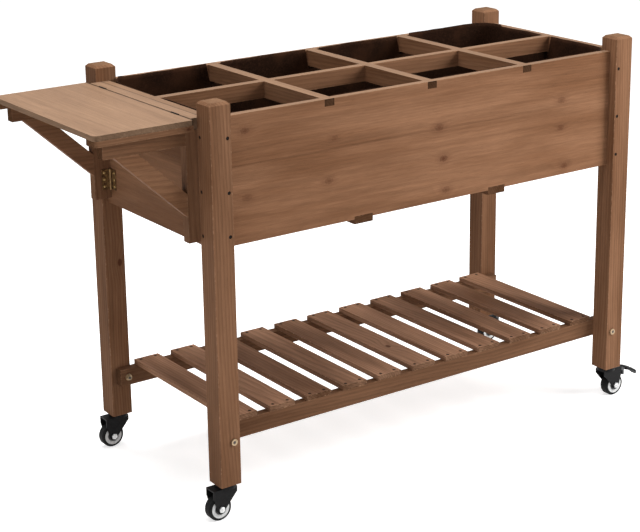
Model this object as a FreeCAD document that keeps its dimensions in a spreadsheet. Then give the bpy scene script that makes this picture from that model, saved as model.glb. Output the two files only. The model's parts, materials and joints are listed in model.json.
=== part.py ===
import FreeCAD, Part
import Sketcher
import os
import re

# Raised planter on casters with a folding side table, in millimetres.
# +X runs from the table end to the other end, -Y is the front, +Z is up, and the floor is z = 0.

SIZES = (
    ("frame_length", 1040, "over the outer faces of the posts, along X"),
    ("frame_width", 470, "over the outer faces of the posts, along Y"),
    ("post_side", 44, "square section of a post"),
    ("post_length", 743, "post, from its foot to its top"),
    ("post_chamfer", 5, "chamfer round the top of a post"),
    ("panel_thickness", 16, "all four panels"),
    ("panel_height", 246, "all four panels"),
    ("panel_drop", 31.5, "top of the posts down to the top of the panels"),
    ("long_panel_inset", 20, "front and rear panels, in from the post's outer face"),
    ("end_panel_inset", 12, "end panels, in from the post's outer face"),
    ("housing_depth", 12, "how far a panel's end goes into a post"),
    ("housing_play", 0.1, "free space round a panel's end in its housing"),
    ("divider_height", 33, "all dividers"),
    ("long_divider_thickness", 18, "divider along X"),
    ("cross_divider_thickness", 22, "dividers along Y"),
    ("divider_pitch", 245.5, "from one cross divider to the next"),
    ("divider_notch", 14, "depth of the notches in the panels' top edges"),
    ("notch_play", 0.1, "free space on each side in a notch"),
    ("bearer_width", 44, "bearers under the box"),
    ("bearer_thickness", 16, "bearers under the box"),
    ("bearer_notch", 6, "depth of the notches in the panels' bottom edges"),
    ("bearer_spacing", 336, "between the bearers' middles"),
    ("base_thickness", 10, "base boards"),
    ("base_gap", 2, "drain gap between base boards"),
    ("base_groove", 6, "depth of the groove in the end panels that takes the base boards"),
    ("base_play", 0.4, "free space round a base board"),
    ("liner_thickness", 1.5, "fabric liner"),
    ("liner_play", 0.3, "free space between the liner and the wood"),
    ("liner_drop", 1.5, "top of the panels down to the liner's edge"),
    ("rail_thickness", 18, "shelf rails"),
    ("rail_height", 36, "shelf rails"),
    ("rail_level", 70.5, "foot of the posts up to the rails"),
    ("rail_inset", 12, "end of a rail, in from the post's outer face"),
    ("slat_width", 57, "shelf slats"),
    ("slat_thickness", 10, "shelf slats"),
    ("slat_pitch", 87.4, "from one slat to the next"),
    ("ledge_width", 25, "fixed ledge of the table"),
    ("seam", 2, "between the ledge and the leaf"),
    ("leaf_width", 199, "table leaf, along X"),
    ("leaf_length", 408, "table leaf, along Y"),
    ("leaf_thickness", 10, "board of the table leaf"),
    ("leaf_corner", 9, "radius of the leaf's outer corners"),
    ("cleat_width", 30, "cleats under the leaf"),
    ("cleat_thickness", 11, "cleats under the leaf"),
    ("bracket_thickness", 19, "bracket pieces, along Y"),
    ("bracket_play", 0.5, "between a bracket and the panel, the post or the leaf"),
    ("bracket_reach", 204.5, "bracket, from the panel to the tip of its arm"),
    ("arm_height", 27, "bracket arm"),
    ("upright_width", 36, "bracket upright"),
    ("upright_length", 211, "bracket upright"),
    ("brace_width", 32, "bracket brace, across its grain"),
    ("brace_drop", 134, "underside of the arm down to the brace's lower end"),
    ("brace_inset", 23, "tip of the arm in to the brace"),
    ("leaf_hinge_length", 26, "leaf hinge, along Y"),
    ("leaf_hinge_spacing", 276, "between the leaf hinges' middles"),
    ("leaf_hinge_width", 9, "leaf hinge plate, from the pin"),
    ("leaf_hinge_plate", 0.8, "thickness of a leaf hinge plate"),
    ("leaf_barrel", 2, "radius of the leaf hinge's barrel"),
    ("leaf_pin", 1, "radius of the leaf hinge's pin"),
    ("leaf_axis_drop", 0.5, "top of the leaf down to its pin"),
    ("barrel_play", 0.4, "between a barrel and the notch it turns in"),
    ("bracket_hinge_length", 42, "bracket hinge, along Z"),
    ("bracket_hinge_width", 18, "bracket hinge plate, from the pin"),
    ("bracket_hinge_plate", 1.5, "thickness of a bracket hinge plate"),
    ("bracket_hinge_stand", 3, "bracket hinge's pin, off the faces of its two plates"),
    ("bracket_barrel", 2.85, "radius of the bracket hinge's barrel"),
    ("bracket_pin", 1.5, "radius of the bracket hinge's pin"),
    ("low_hinge_level", 18, "foot of the upright up to the lower hinge"),
    ("high_hinge_drop", 30, "top of the upright down to the upper hinge"),
    ("knuckle_play", 0.3, "between knuckles, along the pin"),
    ("pin_play", 0.05, "round pins, stems, screws and axles in their holes"),
    ("wheel_diameter", 50, "over the tyre"),
    ("tyre_width", 20, "tyre"),
    ("tyre_bevel", 3, "bevel of the tyre's shoulders, along Y"),
    ("shoulder_drop", 2, "bevel of the tyre's shoulders, across the tread"),
    ("hub_diameter", 38, "hub inside the tyre"),
    ("hub_width", 22, "hub, along the axle"),
    ("rim_width", 20.6, "rim of the hub"),
    ("web_diameter", 25, "dished web of the hub"),
    ("web_depth", 3, "how deep the web lies in the rim"),
    ("boss_diameter", 12, "boss of the hub"),
    ("axle_diameter", 6, "wheel axle"),
    ("axle_head_diameter", 11, "head and nut of the axle"),
    ("axle_head_height", 3, "head and nut of the axle"),
    ("trail", 18.5, "swivel axis to the axle"),
    ("head_diameter", 40, "caster's round top and crown"),
    ("top_thickness", 3.5, "caster's round top"),
    ("swivel_gap", 0.4, "between the top and the crown"),
    ("crown_thickness", 5, "crown of the fork"),
    ("crown_level", 63, "floor up to the crown"),
    ("kingpin_diameter", 8, "swivel pin"),
    ("rivet_diameter", 13, "head of the swivel pin, under the crown"),
    ("rivet_height", 2, "head of the swivel pin, under the crown"),
    ("stem_diameter", 10, "stem in the post"),
    ("stem_length", 32, "stem in the post"),
    ("leg_play", 0.7, "between a hub and a fork leg"),
    ("leg_thickness", 2.5, "fork leg"),
    ("leg_heel", 17, "swivel axis to the back of a leg"),
    ("leg_toe", 35, "swivel axis to the front of a leg"),
    ("leg_toe_height", 13, "front edge of a leg, below the crown"),
    ("leg_heel_height", 8, "back edge of a leg, below the crown"),
    ("leg_end_radius", 9.5, "round end of a leg at the axle"),
    ("lever_reach", 81, "swivel axis to the tip of the brake lever"),
    ("lever_width", 18, "brake lever"),
    ("lever_thickness", 3, "brake lever"),
    ("lever_pivot", 30, "swivel axis to the lever's pin"),
    ("lever_pivot_drop", 6.5, "crown down to the lever's pin"),
    ("lever_barrel", 4, "radius of the lever's barrel"),
    ("lever_pin", 2, "radius of the lever's pin"),
    ("pedal_length", 25, "pedal at the lever's tip"),
    ("pedal_width", 24, "pedal at the lever's tip"),
    ("pedal_height", 5, "pedal at the lever's tip"),
    ("pedal_drop", 11, "how far the pedal slopes down"),
    ("shoe_place", 14, "lever's pin to the brake shoe"),
    ("shoe_length", 4, "brake shoe"),
    ("shoe_drop", 14.5, "lever's pin down to the bottom of the shoe"),
    ("screw_diameter", 4, "panel screws"),
    ("screw_head_diameter", 7, "panel screws"),
    ("screw_head_height", 2.5, "panel screws"),
    ("screw_sink", 1, "how deep a panel screw's head lies in the post"),
    ("screw_short", 3, "tip of a panel screw to the panel's inner face"),
    ("screw_edge", 7.5, "panel screw to the post's inner edge"),
    ("screw_low", 25.5, "bottom of the panel up to the lowest screw"),
    ("screw_middle", 108.5, "bottom of the panel up to the middle screw"),
    ("screw_high", 35.5, "top of the panel down to the highest screw"),
    ("slat_screw_diameter", 3.5, "slat screws"),
    ("slat_screw_head", 7, "slat screws, over the head"),
    ("slat_screw_head_height", 2.5, "slat screws"),
    ("slat_screw_sink", 0.5, "how deep a slat screw's head lies in the slat"),
    ("slat_screw_bite", 16, "slat screw in the rail"),
    ("slat_screw_pitch", 34, "between the two screws at a slat's end"),
    ("bolt_diameter", 6, "shelf bolts"),
    ("bolt_head_diameter", 13, "shelf bolts"),
    ("bolt_head_height", 3.5, "shelf bolts"),
    ("bolt_edge", 14, "shelf bolt to the post's inner face"),
    ("washer_diameter", 14, "shelf bolts"),
    ("washer_thickness", 1.2, "shelf bolts"),
    ("nut_flats", 10, "shelf bolts' nuts, across the flats"),
    ("nut_height", 5, "shelf bolts' nuts"),
    ("bolt_tail", 2, "bolt past its nut"),
)
SLATS = 11
BASE_BOARDS = 6
CROSS_DIVIDERS = {"left": -1, "middle": 0, "right": 1}
ENDS = {"left": -1, "right": 1}
SIDES = {"front": -1, "rear": 1}
# how far a cutting tool runs past the face it opens
PAST = "2"

doc = FreeCAD.newDocument("raised_planter")
sheet = doc.addObject("Spreadsheet::Sheet", "sizes")
for row, (alias, size, note) in enumerate(SIZES, 1):
    sheet.set("A%d" % row, note)
    sheet.set("B%d" % row, str(size))
    sheet.setAlias("B%d" % row, alias)
doc.recompute()
ALIASES = {alias for alias, size, note in SIZES}
nodes = {}

# Places that several pieces share, as formulas of the sizes.
FOOT = "(crown_level + crown_thickness + swivel_gap + top_thickness)"
POST_TOP = "(%s + post_length)" % FOOT
PANEL_TOP = "(%s - panel_drop)" % POST_TOP
PANEL_FOOT = "(%s - panel_height)" % PANEL_TOP
POST_OUT_X = "(frame_length / 2)"
POST_IN_X = "(frame_length / 2 - post_side)"
POST_OUT_Y = "(frame_width / 2)"
POST_IN_Y = "(frame_width / 2 - post_side)"
LONG_OUT = "(frame_width / 2 - long_panel_inset)"
LONG_IN = "(%s - panel_thickness)" % LONG_OUT
END_OUT = "(frame_length / 2 - end_panel_inset)"
END_IN = "(%s - panel_thickness)" % END_OUT
DIVIDER_FOOT = "(%s - divider_height)" % PANEL_TOP
BASE_FOOT = "(%s + bearer_notch)" % PANEL_FOOT
BASE_TOP = "(%s + base_thickness)" % BASE_FOOT
RAIL_FOOT = "(%s + rail_level)" % FOOT
RAIL_TOP = "(%s + rail_height)" % RAIL_FOOT
RAIL_IN = "(%s - rail_thickness)" % POST_IN_Y
BOLT_LEVEL = "(%s + rail_height / 2)" % RAIL_FOOT
LEDGE_OUT = "(%s + ledge_width)" % END_OUT
LEAF_IN = "(%s + seam)" % LEDGE_OUT
LEAF_TIP = "(%s + leaf_width)" % LEAF_IN
TABLE_FOOT = "(%s - leaf_thickness - cleat_thickness)" % PANEL_TOP
BRACKET_TOP = "(%s - bracket_play)" % TABLE_FOOT
BRACKET_OUT = "(%s - bracket_play)" % POST_IN_Y
BRACKET_IN = "(%s - bracket_thickness)" % BRACKET_OUT
CASTER_X = "(frame_length / 2 - post_side / 2)"
CASTER_Y = "(frame_width / 2 - post_side / 2)"
# brings the middle of the whole length to x = 0
SHIFT = "((%s - %s - lever_reach) / 2)" % (LEAF_TIP, CASTER_X)


def formula(text):
    """The text with each size written as a cell of the sheet."""
    return re.sub(r"[a-z_]+", lambda m: "sizes." + m[0] if m[0] in ALIASES else m[0], text)


def bind(thing, **texts):
    for name, text in texts.items():
        thing.setExpression(name, formula(text))


def place(thing, x="0", y="0", z="0", turn=None):
    """Puts a piece at formulas for x, y and z, turned by a rotation."""
    if turn is not None:
        thing.Placement.Rotation = turn
    for axis, text in zip("xyz", (x, y, z)):
        thing.setExpression("Placement.Base." + axis, formula(text))
    return thing


def mirrored(sign, low, high):
    """A span on the side that the sign names."""
    if sign > 0:
        return low, high
    return "-(%s)" % high, "-(%s)" % low


def centred(middle, size):
    return "(%s) - (%s) / 2" % (middle, size), "(%s) + (%s) / 2" % (middle, size)


def board(name, x, y, z):
    """A box between three pairs of faces."""
    box = doc.addObject("Part::Box", name)
    for prop, (low, high) in (("Length", x), ("Width", y), ("Height", z)):
        bind(box, **{prop: "(%s) - (%s)" % (high, low)})
    return place(box, x[0], y[0], z[0])


TURNS = {
    "x": FreeCAD.Rotation(FreeCAD.Vector(0, 1, 0), 90),
    "y": FreeCAD.Rotation(FreeCAD.Vector(1, 0, 0), -90),
    "z": FreeCAD.Rotation(),
}


def rod(name, radius, along, span, **at):
    """A cylinder along an axis, over a span of it, at two formulas for the other axes."""
    cylinder = doc.addObject("Part::Cylinder", name)
    bind(cylinder, Radius=radius, Height="(%s) - (%s)" % (span[1], span[0]))
    where = dict(at)
    where[along] = span[0]
    return place(cylinder, where["x"], where["y"], where["z"], TURNS[along])


def joined(name, pieces):
    fuse = doc.addObject("Part::MultiFuse", name)
    fuse.Shapes = pieces
    fuse.Refine = True
    return fuse


def group(name, pieces):
    compound = doc.addObject("Part::Compound", name)
    compound.Links = pieces
    return compound


def less(name, base, tools):
    """The base with the tools cut out of it."""
    cut = doc.addObject("Part::Cut", name)
    cut.Base = base
    cut.Tool = tools[0] if len(tools) == 1 else group(name + "_tools", tools)
    return cut


def outline(name, corners, depth):
    """A body padded from a closed outline, whose corners are formulas of zero or more."""
    body = doc.addObject("PartDesign::Body", name)
    plane = next(f for f in body.Origin.OriginFeatures if f.Role == "XY_Plane")
    sketch = body.newObject("Sketcher::SketchObject", name + "_sketch")
    sketch.AttachmentSupport = [(plane, "")]
    sketch.MapMode = "FlatFace"
    count = len(corners)
    rough = [FreeCAD.Rotation(FreeCAD.Vector(0, 0, 1), 360 * i / count).multVec(FreeCAD.Vector(-1, -1, 0))
             for i in range(count)]
    middle = FreeCAD.Vector(count, count, 0)
    for i in range(count):
        sketch.addGeometry(Part.LineSegment(middle + rough[i], middle + rough[(i + 1) % count]), False)
    for i in range(count):
        sketch.addConstraint(Sketcher.Constraint("Coincident", i, 2, (i + 1) % count, 1))
    for i, texts in enumerate(corners):
        for kind, text, start in zip(("DistanceX", "DistanceY"), texts, middle + rough[i]):
            index = sketch.addConstraint(Sketcher.Constraint(kind, -1, 1, i, 1, start))
            sketch.setExpression("Constraints[%d]" % index, formula(text))
    pad = body.newObject("PartDesign::Pad", name + "_pad")
    pad.Profile = sketch
    bind(pad, Length=depth)
    doc.recompute()
    return body


def dressed(body, kind, size, wanted):
    """Adds a fillet or chamfer on the edges of the body's tip that the test picks."""
    tip = body.Tip
    edges = ["Edge%d" % i for i, edge in enumerate(tip.Shape.Edges, 1) if wanted(edge, tip.Shape.BoundBox)]
    feature = body.newObject("PartDesign::" + kind, body.Name + "_" + kind.lower())
    feature.Base = (tip, edges)
    bind(feature, **{"Radius" if kind == "Fillet" else "Size": size})
    body.Tip = feature
    doc.recompute()
    return body


def node(name, thing):
    """Makes a piece one of the object's named sub-parts."""
    thing.Label = name
    nodes[name] = thing
    return thing


def shifted(name, thing):
    """A sub-part drawn about the frame's middle, moved to the object's own origin."""
    return node(name, place(thing, SHIFT))


# Screws and bolts, which also cut their own holes with some play.

def panel_screw(name, end, side, along, level, play="0", past="0"):
    """A screw through a post into a panel's end: along y for the long panels, along x for the end ones."""
    head_r = "screw_head_diameter / 2 + %s" % play
    shank_r = "screw_diameter / 2 + %s" % play
    if along == "y":
        sign = side
        face = POST_OUT_Y
        tip = "%s + screw_short - %s" % (LONG_IN, play)
        at = {"x": "%d * (%s + screw_edge)" % (end, POST_IN_X), "z": level}
    else:
        sign = end
        face = POST_OUT_X
        tip = "%s + screw_short - %s" % (END_IN, play)
        at = {"y": "%d * (%s + screw_edge)" % (side, POST_IN_Y), "z": level}
    under = "%s - screw_sink - screw_head_height" % face
    shank = rod(name + "_shank", shank_r, along, mirrored(sign, tip, under), **at)
    top = "%s - screw_sink + %s" % (face, past)
    head = rod(name + "_head", head_r, along, mirrored(sign, "%s - %s" % (under, play), top), **at)
    return joined(name, [shank, head])


PANEL_SCREW_LEVELS = (
    "%s + screw_low" % PANEL_FOOT,
    "%s + screw_middle" % PANEL_FOOT,
    "%s - screw_high" % PANEL_TOP,
)


def panel_screws(name, end, side, along, play="0", past="0"):
    return [panel_screw("%s_%d" % (name, i), end, side, along, level, play, past)
            for i, level in enumerate(PANEL_SCREW_LEVELS)]


def slat_screw(name, slat_x, side, step, play="0", past="0"):
    at = {"x": "%s + %d * slat_screw_pitch / 2" % (slat_x, step),
          "y": "%d * (%s - rail_thickness / 2)" % (side, POST_IN_Y)}
    top = "%s + slat_thickness - slat_screw_sink" % RAIL_TOP
    under = "%s - slat_screw_head_height" % top
    shank = rod(name + "_shank", "slat_screw_diameter / 2 + " + play, "z",
                ("%s - slat_screw_bite - %s" % (RAIL_TOP, play), under), **at)
    head = rod(name + "_head", "slat_screw_head / 2 + " + play, "z",
               ("%s - %s" % (under, play), "%s + %s" % (top, past)), **at)
    return joined(name, [shank, head])


def slat_place(index):
    return "%g * slat_pitch" % (index - (SLATS - 1) / 2)


def slat_screws(name, index, side, play="0", past="0"):
    return [slat_screw("%s_%d" % (name, i), slat_place(index), side, step, play, past)
            for i, step in enumerate((-1, 1))]


def bolt_hole(name, end, side):
    at = {"x": "%d * (%s + bolt_edge)" % (end, POST_IN_X), "z": BOLT_LEVEL}
    span = mirrored(side, "%s - %s" % (RAIL_IN, PAST), "%s + %s" % (POST_OUT_Y, PAST))
    return rod(name, "bolt_diameter / 2 + pin_play", "y", span, **at)


def shelf_bolt(name, end, side):
    """A bolt from the post's outer face through the rail, with its washer and nut, as three solids."""
    at = {"x": "%d * (%s + bolt_edge)" % (end, POST_IN_X), "z": BOLT_LEVEL}
    seat = "%s - washer_thickness" % RAIL_IN
    tip = "%s - nut_height - bolt_tail" % seat
    shank = rod(name + "_shank", "bolt_diameter / 2", "y", mirrored(side, tip, POST_OUT_Y), **at)
    head = rod(name + "_head", "bolt_head_diameter / 2", "y",
               mirrored(side, POST_OUT_Y, "%s + bolt_head_height" % POST_OUT_Y), **at)
    bolt = joined(name, [shank, head])
    hole = rod(name + "_bore", "bolt_diameter / 2 + pin_play", "y",
               mirrored(side, "%s - %s" % (tip, PAST), "%s + %s" % (RAIL_IN, PAST)), **at)
    disc = rod(name + "_disc", "washer_diameter / 2", "y", mirrored(side, seat, RAIL_IN), **at)
    hexagon = doc.addObject("Part::Prism", name + "_hexagon")
    hexagon.Polygon = 6
    bind(hexagon, Circumradius="nut_flats / sqrt(3)", Height="nut_height")
    low_y = mirrored(side, "%s - nut_height" % seat, seat)[0]
    place(hexagon, at["x"], low_y, at["z"], TURNS["y"])
    return [bolt, less(name + "_washer", disc, [hole]), less(name + "_nut", hexagon, [hole])]


# Posts, panels, dividers and the base of the box.

def post(end_name, side_name):
    end, side = ENDS[end_name], SIDES[side_name]
    name = "post_%s_%s" % (side_name, end_name)
    square = [("0", "0"), ("post_side", "0"), ("post_side", "post_side"), ("0", "post_side")]
    blank = outline(name + "_blank", square, "post_length")
    dressed(blank, "Chamfer", "post_chamfer",
            lambda edge, box: edge.BoundBox.ZMin > box.ZMax - box.ZLength / 2)
    place(blank, mirrored(end, POST_IN_X, POST_OUT_X)[0], mirrored(side, POST_IN_Y, POST_OUT_Y)[0], FOOT)
    height = "%s - housing_play" % PANEL_FOOT, "%s + housing_play" % PANEL_TOP
    long_housing = board(
        name + "_long_housing",
        mirrored(end, "%s - %s" % (POST_IN_X, PAST), "%s + housing_depth" % POST_IN_X),
        mirrored(side, "%s - housing_play" % LONG_IN, "%s + housing_play" % LONG_OUT), height)
    end_housing = board(
        name + "_end_housing",
        mirrored(end, "%s - housing_play" % END_IN, "%s + housing_play" % END_OUT),
        mirrored(side, "%s - %s" % (POST_IN_Y, PAST), "%s + housing_depth" % POST_IN_Y), height)
    stem_bore = rod(name + "_stem_bore", "stem_diameter / 2 + pin_play", "z",
                    ("%s - %s" % (FOOT, PAST), "%s + stem_length + pin_play" % FOOT),
                    x="%d * %s" % (end, CASTER_X), y="%d * %s" % (side, CASTER_Y))
    tools = [long_housing, end_housing, stem_bore, bolt_hole(name + "_bolt_hole", end, side)]
    for along in "xy":
        tools += panel_screws("%s_hole_%s" % (name, along), end, side, along, "pin_play", PAST)
    shifted(name, less(name, blank, [joined(name + "_cuts", tools)]))


def notches(name, width, along, middles, reach, z):
    """Boxes that cut notches across a panel at several middles along it."""
    cuts = []
    for i, middle in enumerate(middles):
        span = centred(middle, "%s + 2 * notch_play" % width)
        pair = (span, reach) if along == "x" else (reach, span)
        cuts.append(board("%s_%d" % (name, i), pair[0], pair[1], z))
    return cuts


DIVIDER_MIDDLES = ["%d * divider_pitch" % step for step in CROSS_DIVIDERS.values()]
BEARER_MIDDLES = ["%d * bearer_spacing / 2" % step for step in (-1, 1)]
TOP_NOTCH = ("%s - divider_notch" % PANEL_TOP, "%s + %s" % (PANEL_TOP, PAST))
BOTTOM_NOTCH = ("%s - %s" % (PANEL_FOOT, PAST), "%s + bearer_notch" % PANEL_FOOT)


def long_panel(side_name):
    side = SIDES[side_name]
    name = "panel_" + side_name
    tongue = "%s + housing_depth - housing_play" % POST_IN_X
    blank = board(name + "_blank", ("-(%s)" % tongue, tongue), mirrored(side, LONG_IN, LONG_OUT),
                  (PANEL_FOOT, PANEL_TOP))
    through = mirrored(side, "%s - %s" % (LONG_IN, PAST), "%s + %s" % (LONG_OUT, PAST))
    tools = notches(name + "_top", "cross_divider_thickness", "x", DIVIDER_MIDDLES, through, TOP_NOTCH)
    tools += notches(name + "_bottom", "bearer_width", "x", BEARER_MIDDLES, through, BOTTOM_NOTCH)
    for end_name, end in ENDS.items():
        tools += panel_screws("%s_hole_%s" % (name, end_name), end, side, "y", "pin_play", PAST)
    shifted(name, less(name, blank, tools))


def end_panel(end_name):
    end = ENDS[end_name]
    name = "panel_" + end_name
    tongue = "%s + housing_depth - housing_play" % POST_IN_Y
    blank = board(name + "_blank", mirrored(end, END_IN, END_OUT), ("-(%s)" % tongue, tongue),
                  (PANEL_FOOT, PANEL_TOP))
    through = mirrored(end, "%s - %s" % (END_IN, PAST), "%s + %s" % (END_OUT, PAST))
    tools = notches(name + "_top", "long_divider_thickness", "y", ["0"], through, TOP_NOTCH)
    groove_x = mirrored(end, "%s - %s" % (END_IN, PAST), "%s + base_groove" % END_IN)
    groove_z = (BASE_FOOT, "%s + base_play" % BASE_TOP)
    tools.append(board(name + "_groove", groove_x, ("-" + POST_IN_Y, POST_IN_Y), groove_z))
    for side_name, side in SIDES.items():
        tools += panel_screws("%s_hole_%s" % (name, side_name), end, side, "x", "pin_play", PAST)
    shifted(name, less(name, blank, tools))


DIVIDER_HALF = "(%s - divider_height / 2)" % PANEL_TOP


def long_divider():
    half = "long_divider_thickness / 2"
    thickness = ("-" + half, half)
    upper = board("long_divider_upper", ("-" + END_OUT, END_OUT), thickness,
                  ("%s - divider_notch" % PANEL_TOP, PANEL_TOP))
    lower = board("long_divider_lower", ("-" + END_IN, END_IN), thickness,
                  (DIVIDER_FOOT, "%s - divider_notch" % PANEL_TOP))
    tools = notches("long_divider_half", "cross_divider_thickness", "x", DIVIDER_MIDDLES,
                    ("-%s - %s" % (half, PAST), "%s + %s" % (half, PAST)),
                    (DIVIDER_HALF, "%s + %s" % (PANEL_TOP, PAST)))
    shifted("long_divider", less("long_divider", joined("long_divider_bar", [upper, lower]), tools))


def cross_divider(place_name):
    name = "cross_divider_" + place_name
    thickness = centred("%d * divider_pitch" % CROSS_DIVIDERS[place_name], "cross_divider_thickness")
    upper = board(name + "_upper", thickness, ("-" + LONG_OUT, LONG_OUT),
                  ("%s - divider_notch" % PANEL_TOP, PANEL_TOP))
    lower = board(name + "_lower", thickness, ("-" + LONG_IN, LONG_IN),
                  (DIVIDER_FOOT, "%s - divider_notch" % PANEL_TOP))
    through = "%s - %s" % (thickness[0], PAST), "%s + %s" % (thickness[1], PAST)
    tools = notches(name + "_half", "long_divider_thickness", "y", ["0"], through,
                    ("%s - %s" % (DIVIDER_FOOT, PAST), DIVIDER_HALF))
    shifted(name, less(name, joined(name + "_bar", [upper, lower]), tools))


def bearers():
    bars = [board("bearer_%d" % i, centred(middle, "bearer_width"), ("-" + LONG_OUT, LONG_OUT),
                  ("%s - bearer_thickness" % BASE_FOOT, BASE_FOOT))
            for i, middle in enumerate(BEARER_MIDDLES)]
    shifted("base_bearers", group("base_bearers", bars))


def post_corners(name, play, z):
    """Boxes over the corners of the box where the posts stand in, with some play."""
    return [board("%s_%s_%s" % (name, end_name, side_name),
                  mirrored(end, "%s - %s" % (POST_IN_X, play), POST_OUT_X),
                  mirrored(side, "%s - %s" % (POST_IN_Y, play), POST_OUT_Y), z)
            for end_name, end in ENDS.items() for side_name, side in SIDES.items()]


def base_boards():
    width = "((2 * %s - base_gap) / %d)" % (LONG_IN, BASE_BOARDS)
    end = "%s + base_groove - base_play" % END_IN
    boards = []
    for i in range(BASE_BOARDS):
        y = ("-%s + base_gap + %d * %s" % (LONG_IN, i, width), "-%s + %d * %s" % (LONG_IN, i + 1, width))
        boards.append(board("base_board_%d" % i, ("-(%s)" % end, end), y, (BASE_FOOT, BASE_TOP)))
    corners = post_corners("base_corner", "base_play", (BASE_FOOT, BASE_TOP))
    shifted("base_boards", less("base_boards", group("base_blanks", boards), corners))


def liner_space(name, play, z):
    """The inside of the box over a span of z, all round smaller by some play."""
    x = "%s - %s" % (END_IN, play)
    y = "%s - %s" % (LONG_IN, play)
    block = board(name + "_block", ("-(%s)" % x, x), ("-(%s)" % y, y), z)
    return less(name, block, post_corners(name + "_corner", play, z))


def liner():
    """A fabric tub with slots in its edge for the dividers."""
    foot = "%s + liner_play" % BASE_TOP
    top = "%s - liner_drop" % PANEL_TOP
    above = "%s + %s" % (PANEL_TOP, PAST)
    outer = liner_space("liner_outer", "liner_play", (foot, top))
    inner = liner_space("liner_inner", "(liner_play + liner_thickness)",
                        ("%s + liner_thickness" % foot, above))
    slot_z = ("%s - liner_play" % DIVIDER_FOOT, above)
    x_slot = board("liner_x_slot", ("-" + END_OUT, END_OUT),
                   centred("0", "long_divider_thickness + 2 * liner_play"), slot_z)
    y_slots = [board("liner_y_slot_%d" % i, centred(middle, "cross_divider_thickness + 2 * liner_play"),
                     ("-" + LONG_OUT, LONG_OUT), slot_z) for i, middle in enumerate(DIVIDER_MIDDLES)]
    shifted("liner", less("liner", outer, [joined("liner_cuts", [inner, x_slot] + y_slots)]))


# Shelf.

def rail(side_name):
    side = SIDES[side_name]
    name = "shelf_rail_" + side_name
    end = "%s - rail_inset" % POST_OUT_X
    y = mirrored(side, RAIL_IN, POST_IN_Y)
    blank = board(name + "_blank", ("-(%s)" % end, end), y, (RAIL_FOOT, RAIL_TOP))
    tools = [bolt_hole("%s_bolt_%s" % (name, end_name), turn, side) for end_name, turn in ENDS.items()]
    for index in range(SLATS):
        tools += slat_screws("%s_hole_%d" % (name, index), index, side, "pin_play", PAST)
    shifted(name, less(name, blank, tools))


def slat(index):
    name = "shelf_slat_%02d" % (index + 1)
    blank = board(name + "_blank", centred(slat_place(index), "slat_width"), ("-" + POST_IN_Y, POST_IN_Y),
                  (RAIL_TOP, "%s + slat_thickness" % RAIL_TOP))
    tools = []
    for side_name, side in SIDES.items():
        tools += slat_screws("%s_hole_%s" % (name, side_name), index, side, "pin_play", PAST)
    shifted(name, less(name, blank, tools))


# Hinges: two plates with knuckles on one pin. The fixed plate has the middle knuckle.

def knuckle_spans(length):
    """Lower, middle and upper knuckle along a pin, from the hinge's own middle."""
    third = "(%s) / 6" % length
    half = "(%s) / 2" % length
    return {
        "lower": ("-(%s)" % half, "-%s - knuckle_play / 2" % third),
        "middle": ("-%s + knuckle_play / 2" % third, "%s - knuckle_play / 2" % third),
        "upper": ("%s + knuckle_play / 2" % third, half),
    }


def hinge_half(name, kind, knuckles, plate_x, plate_y, tab_x, tab_y):
    """One plate of a hinge about the z axis, with its knuckles and tabs from plate to pin."""
    length = kind + "_hinge_length"
    spans = knuckle_spans(length)
    pieces = [board(name + "_plate", plate_x, plate_y, ("-%s / 2" % length, "%s / 2" % length))]
    for knuckle in knuckles:
        pieces.append(board("%s_tab_%s" % (name, knuckle), tab_x, tab_y, spans[knuckle]))
        pieces.append(rod("%s_%s" % (name, knuckle), kind + "_barrel", "z", spans[knuckle], x="0", y="0"))
    bore = rod(name + "_bore", kind + "_pin + pin_play", "z", ("-" + length, length), x="0", y="0")
    return less(name, joined(name + "_blank", pieces), [bore])


def hinge_pin(name, kind):
    length = kind + "_hinge_length"
    return rod(name, kind + "_pin", "z", ("-%s / 2" % length, "%s / 2" % length), x="0", y="0")


LEAF_AXIS_X = "(%s - (%s + seam / 2))" % (SHIFT, LEDGE_OUT)
LEAF_AXIS_Z = "(%s - leaf_axis_drop)" % PANEL_TOP
# hinge frame: its z lies along the row's y, and its x points down from the pin
LEAF_HINGE_TURN = FreeCAD.Rotation(
    FreeCAD.Vector(0, 0, -1), FreeCAD.Vector(-1, 0, 0), FreeCAD.Vector(0, 1, 0))


def leaf_hinges():
    """Plates hang side by side in the seam: the fixed one on the ledge, the moving one on the leaf."""
    clear = "leaf_barrel + barrel_play"
    plate = (clear, "leaf_hinge_width")
    tab = ("0", clear)
    face = "seam / 2"
    inside = "(%s - leaf_hinge_plate)" % face
    fixed, moving = [], []
    for side_name, side in SIDES.items():
        where = (LEAF_AXIS_X, "%d * leaf_hinge_spacing / 2" % side, LEAF_AXIS_Z, LEAF_HINGE_TURN)
        ledge_y = ("-" + face, "-" + inside)
        leaf_y = (inside, face)
        half = hinge_half("leaf_hinge_fixed_" + side_name, "leaf", ["middle"], plate, ledge_y, tab, ledge_y)
        fixed.append(place(half, *where))
        pin = hinge_pin("leaf_pin_rod_" + side_name, "leaf")
        fixed.append(place_copy("leaf_hinge_pin_" + side_name, pin, where))
        half = hinge_half("leaf_hinge_moving_" + side_name, "leaf", ["lower", "upper"],
                          plate, leaf_y, tab, leaf_y)
        moving.append(place(half, *where))
    node("leaf_hinge_fixed", group("leaf_hinge_fixed", fixed))
    node("leaf_hinge_moving", group("leaf_hinge_moving", moving))


def place_copy(name, thing, where):
    """A piece that has a place of its own, moved as a whole."""
    return place(group(name, [thing]), *where)


def bracket_axis(side):
    return ("%s - (%s + bracket_hinge_stand)" % (SHIFT, END_OUT),
            "%d * (%s - bracket_hinge_stand)" % (side, BRACKET_IN))


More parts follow.
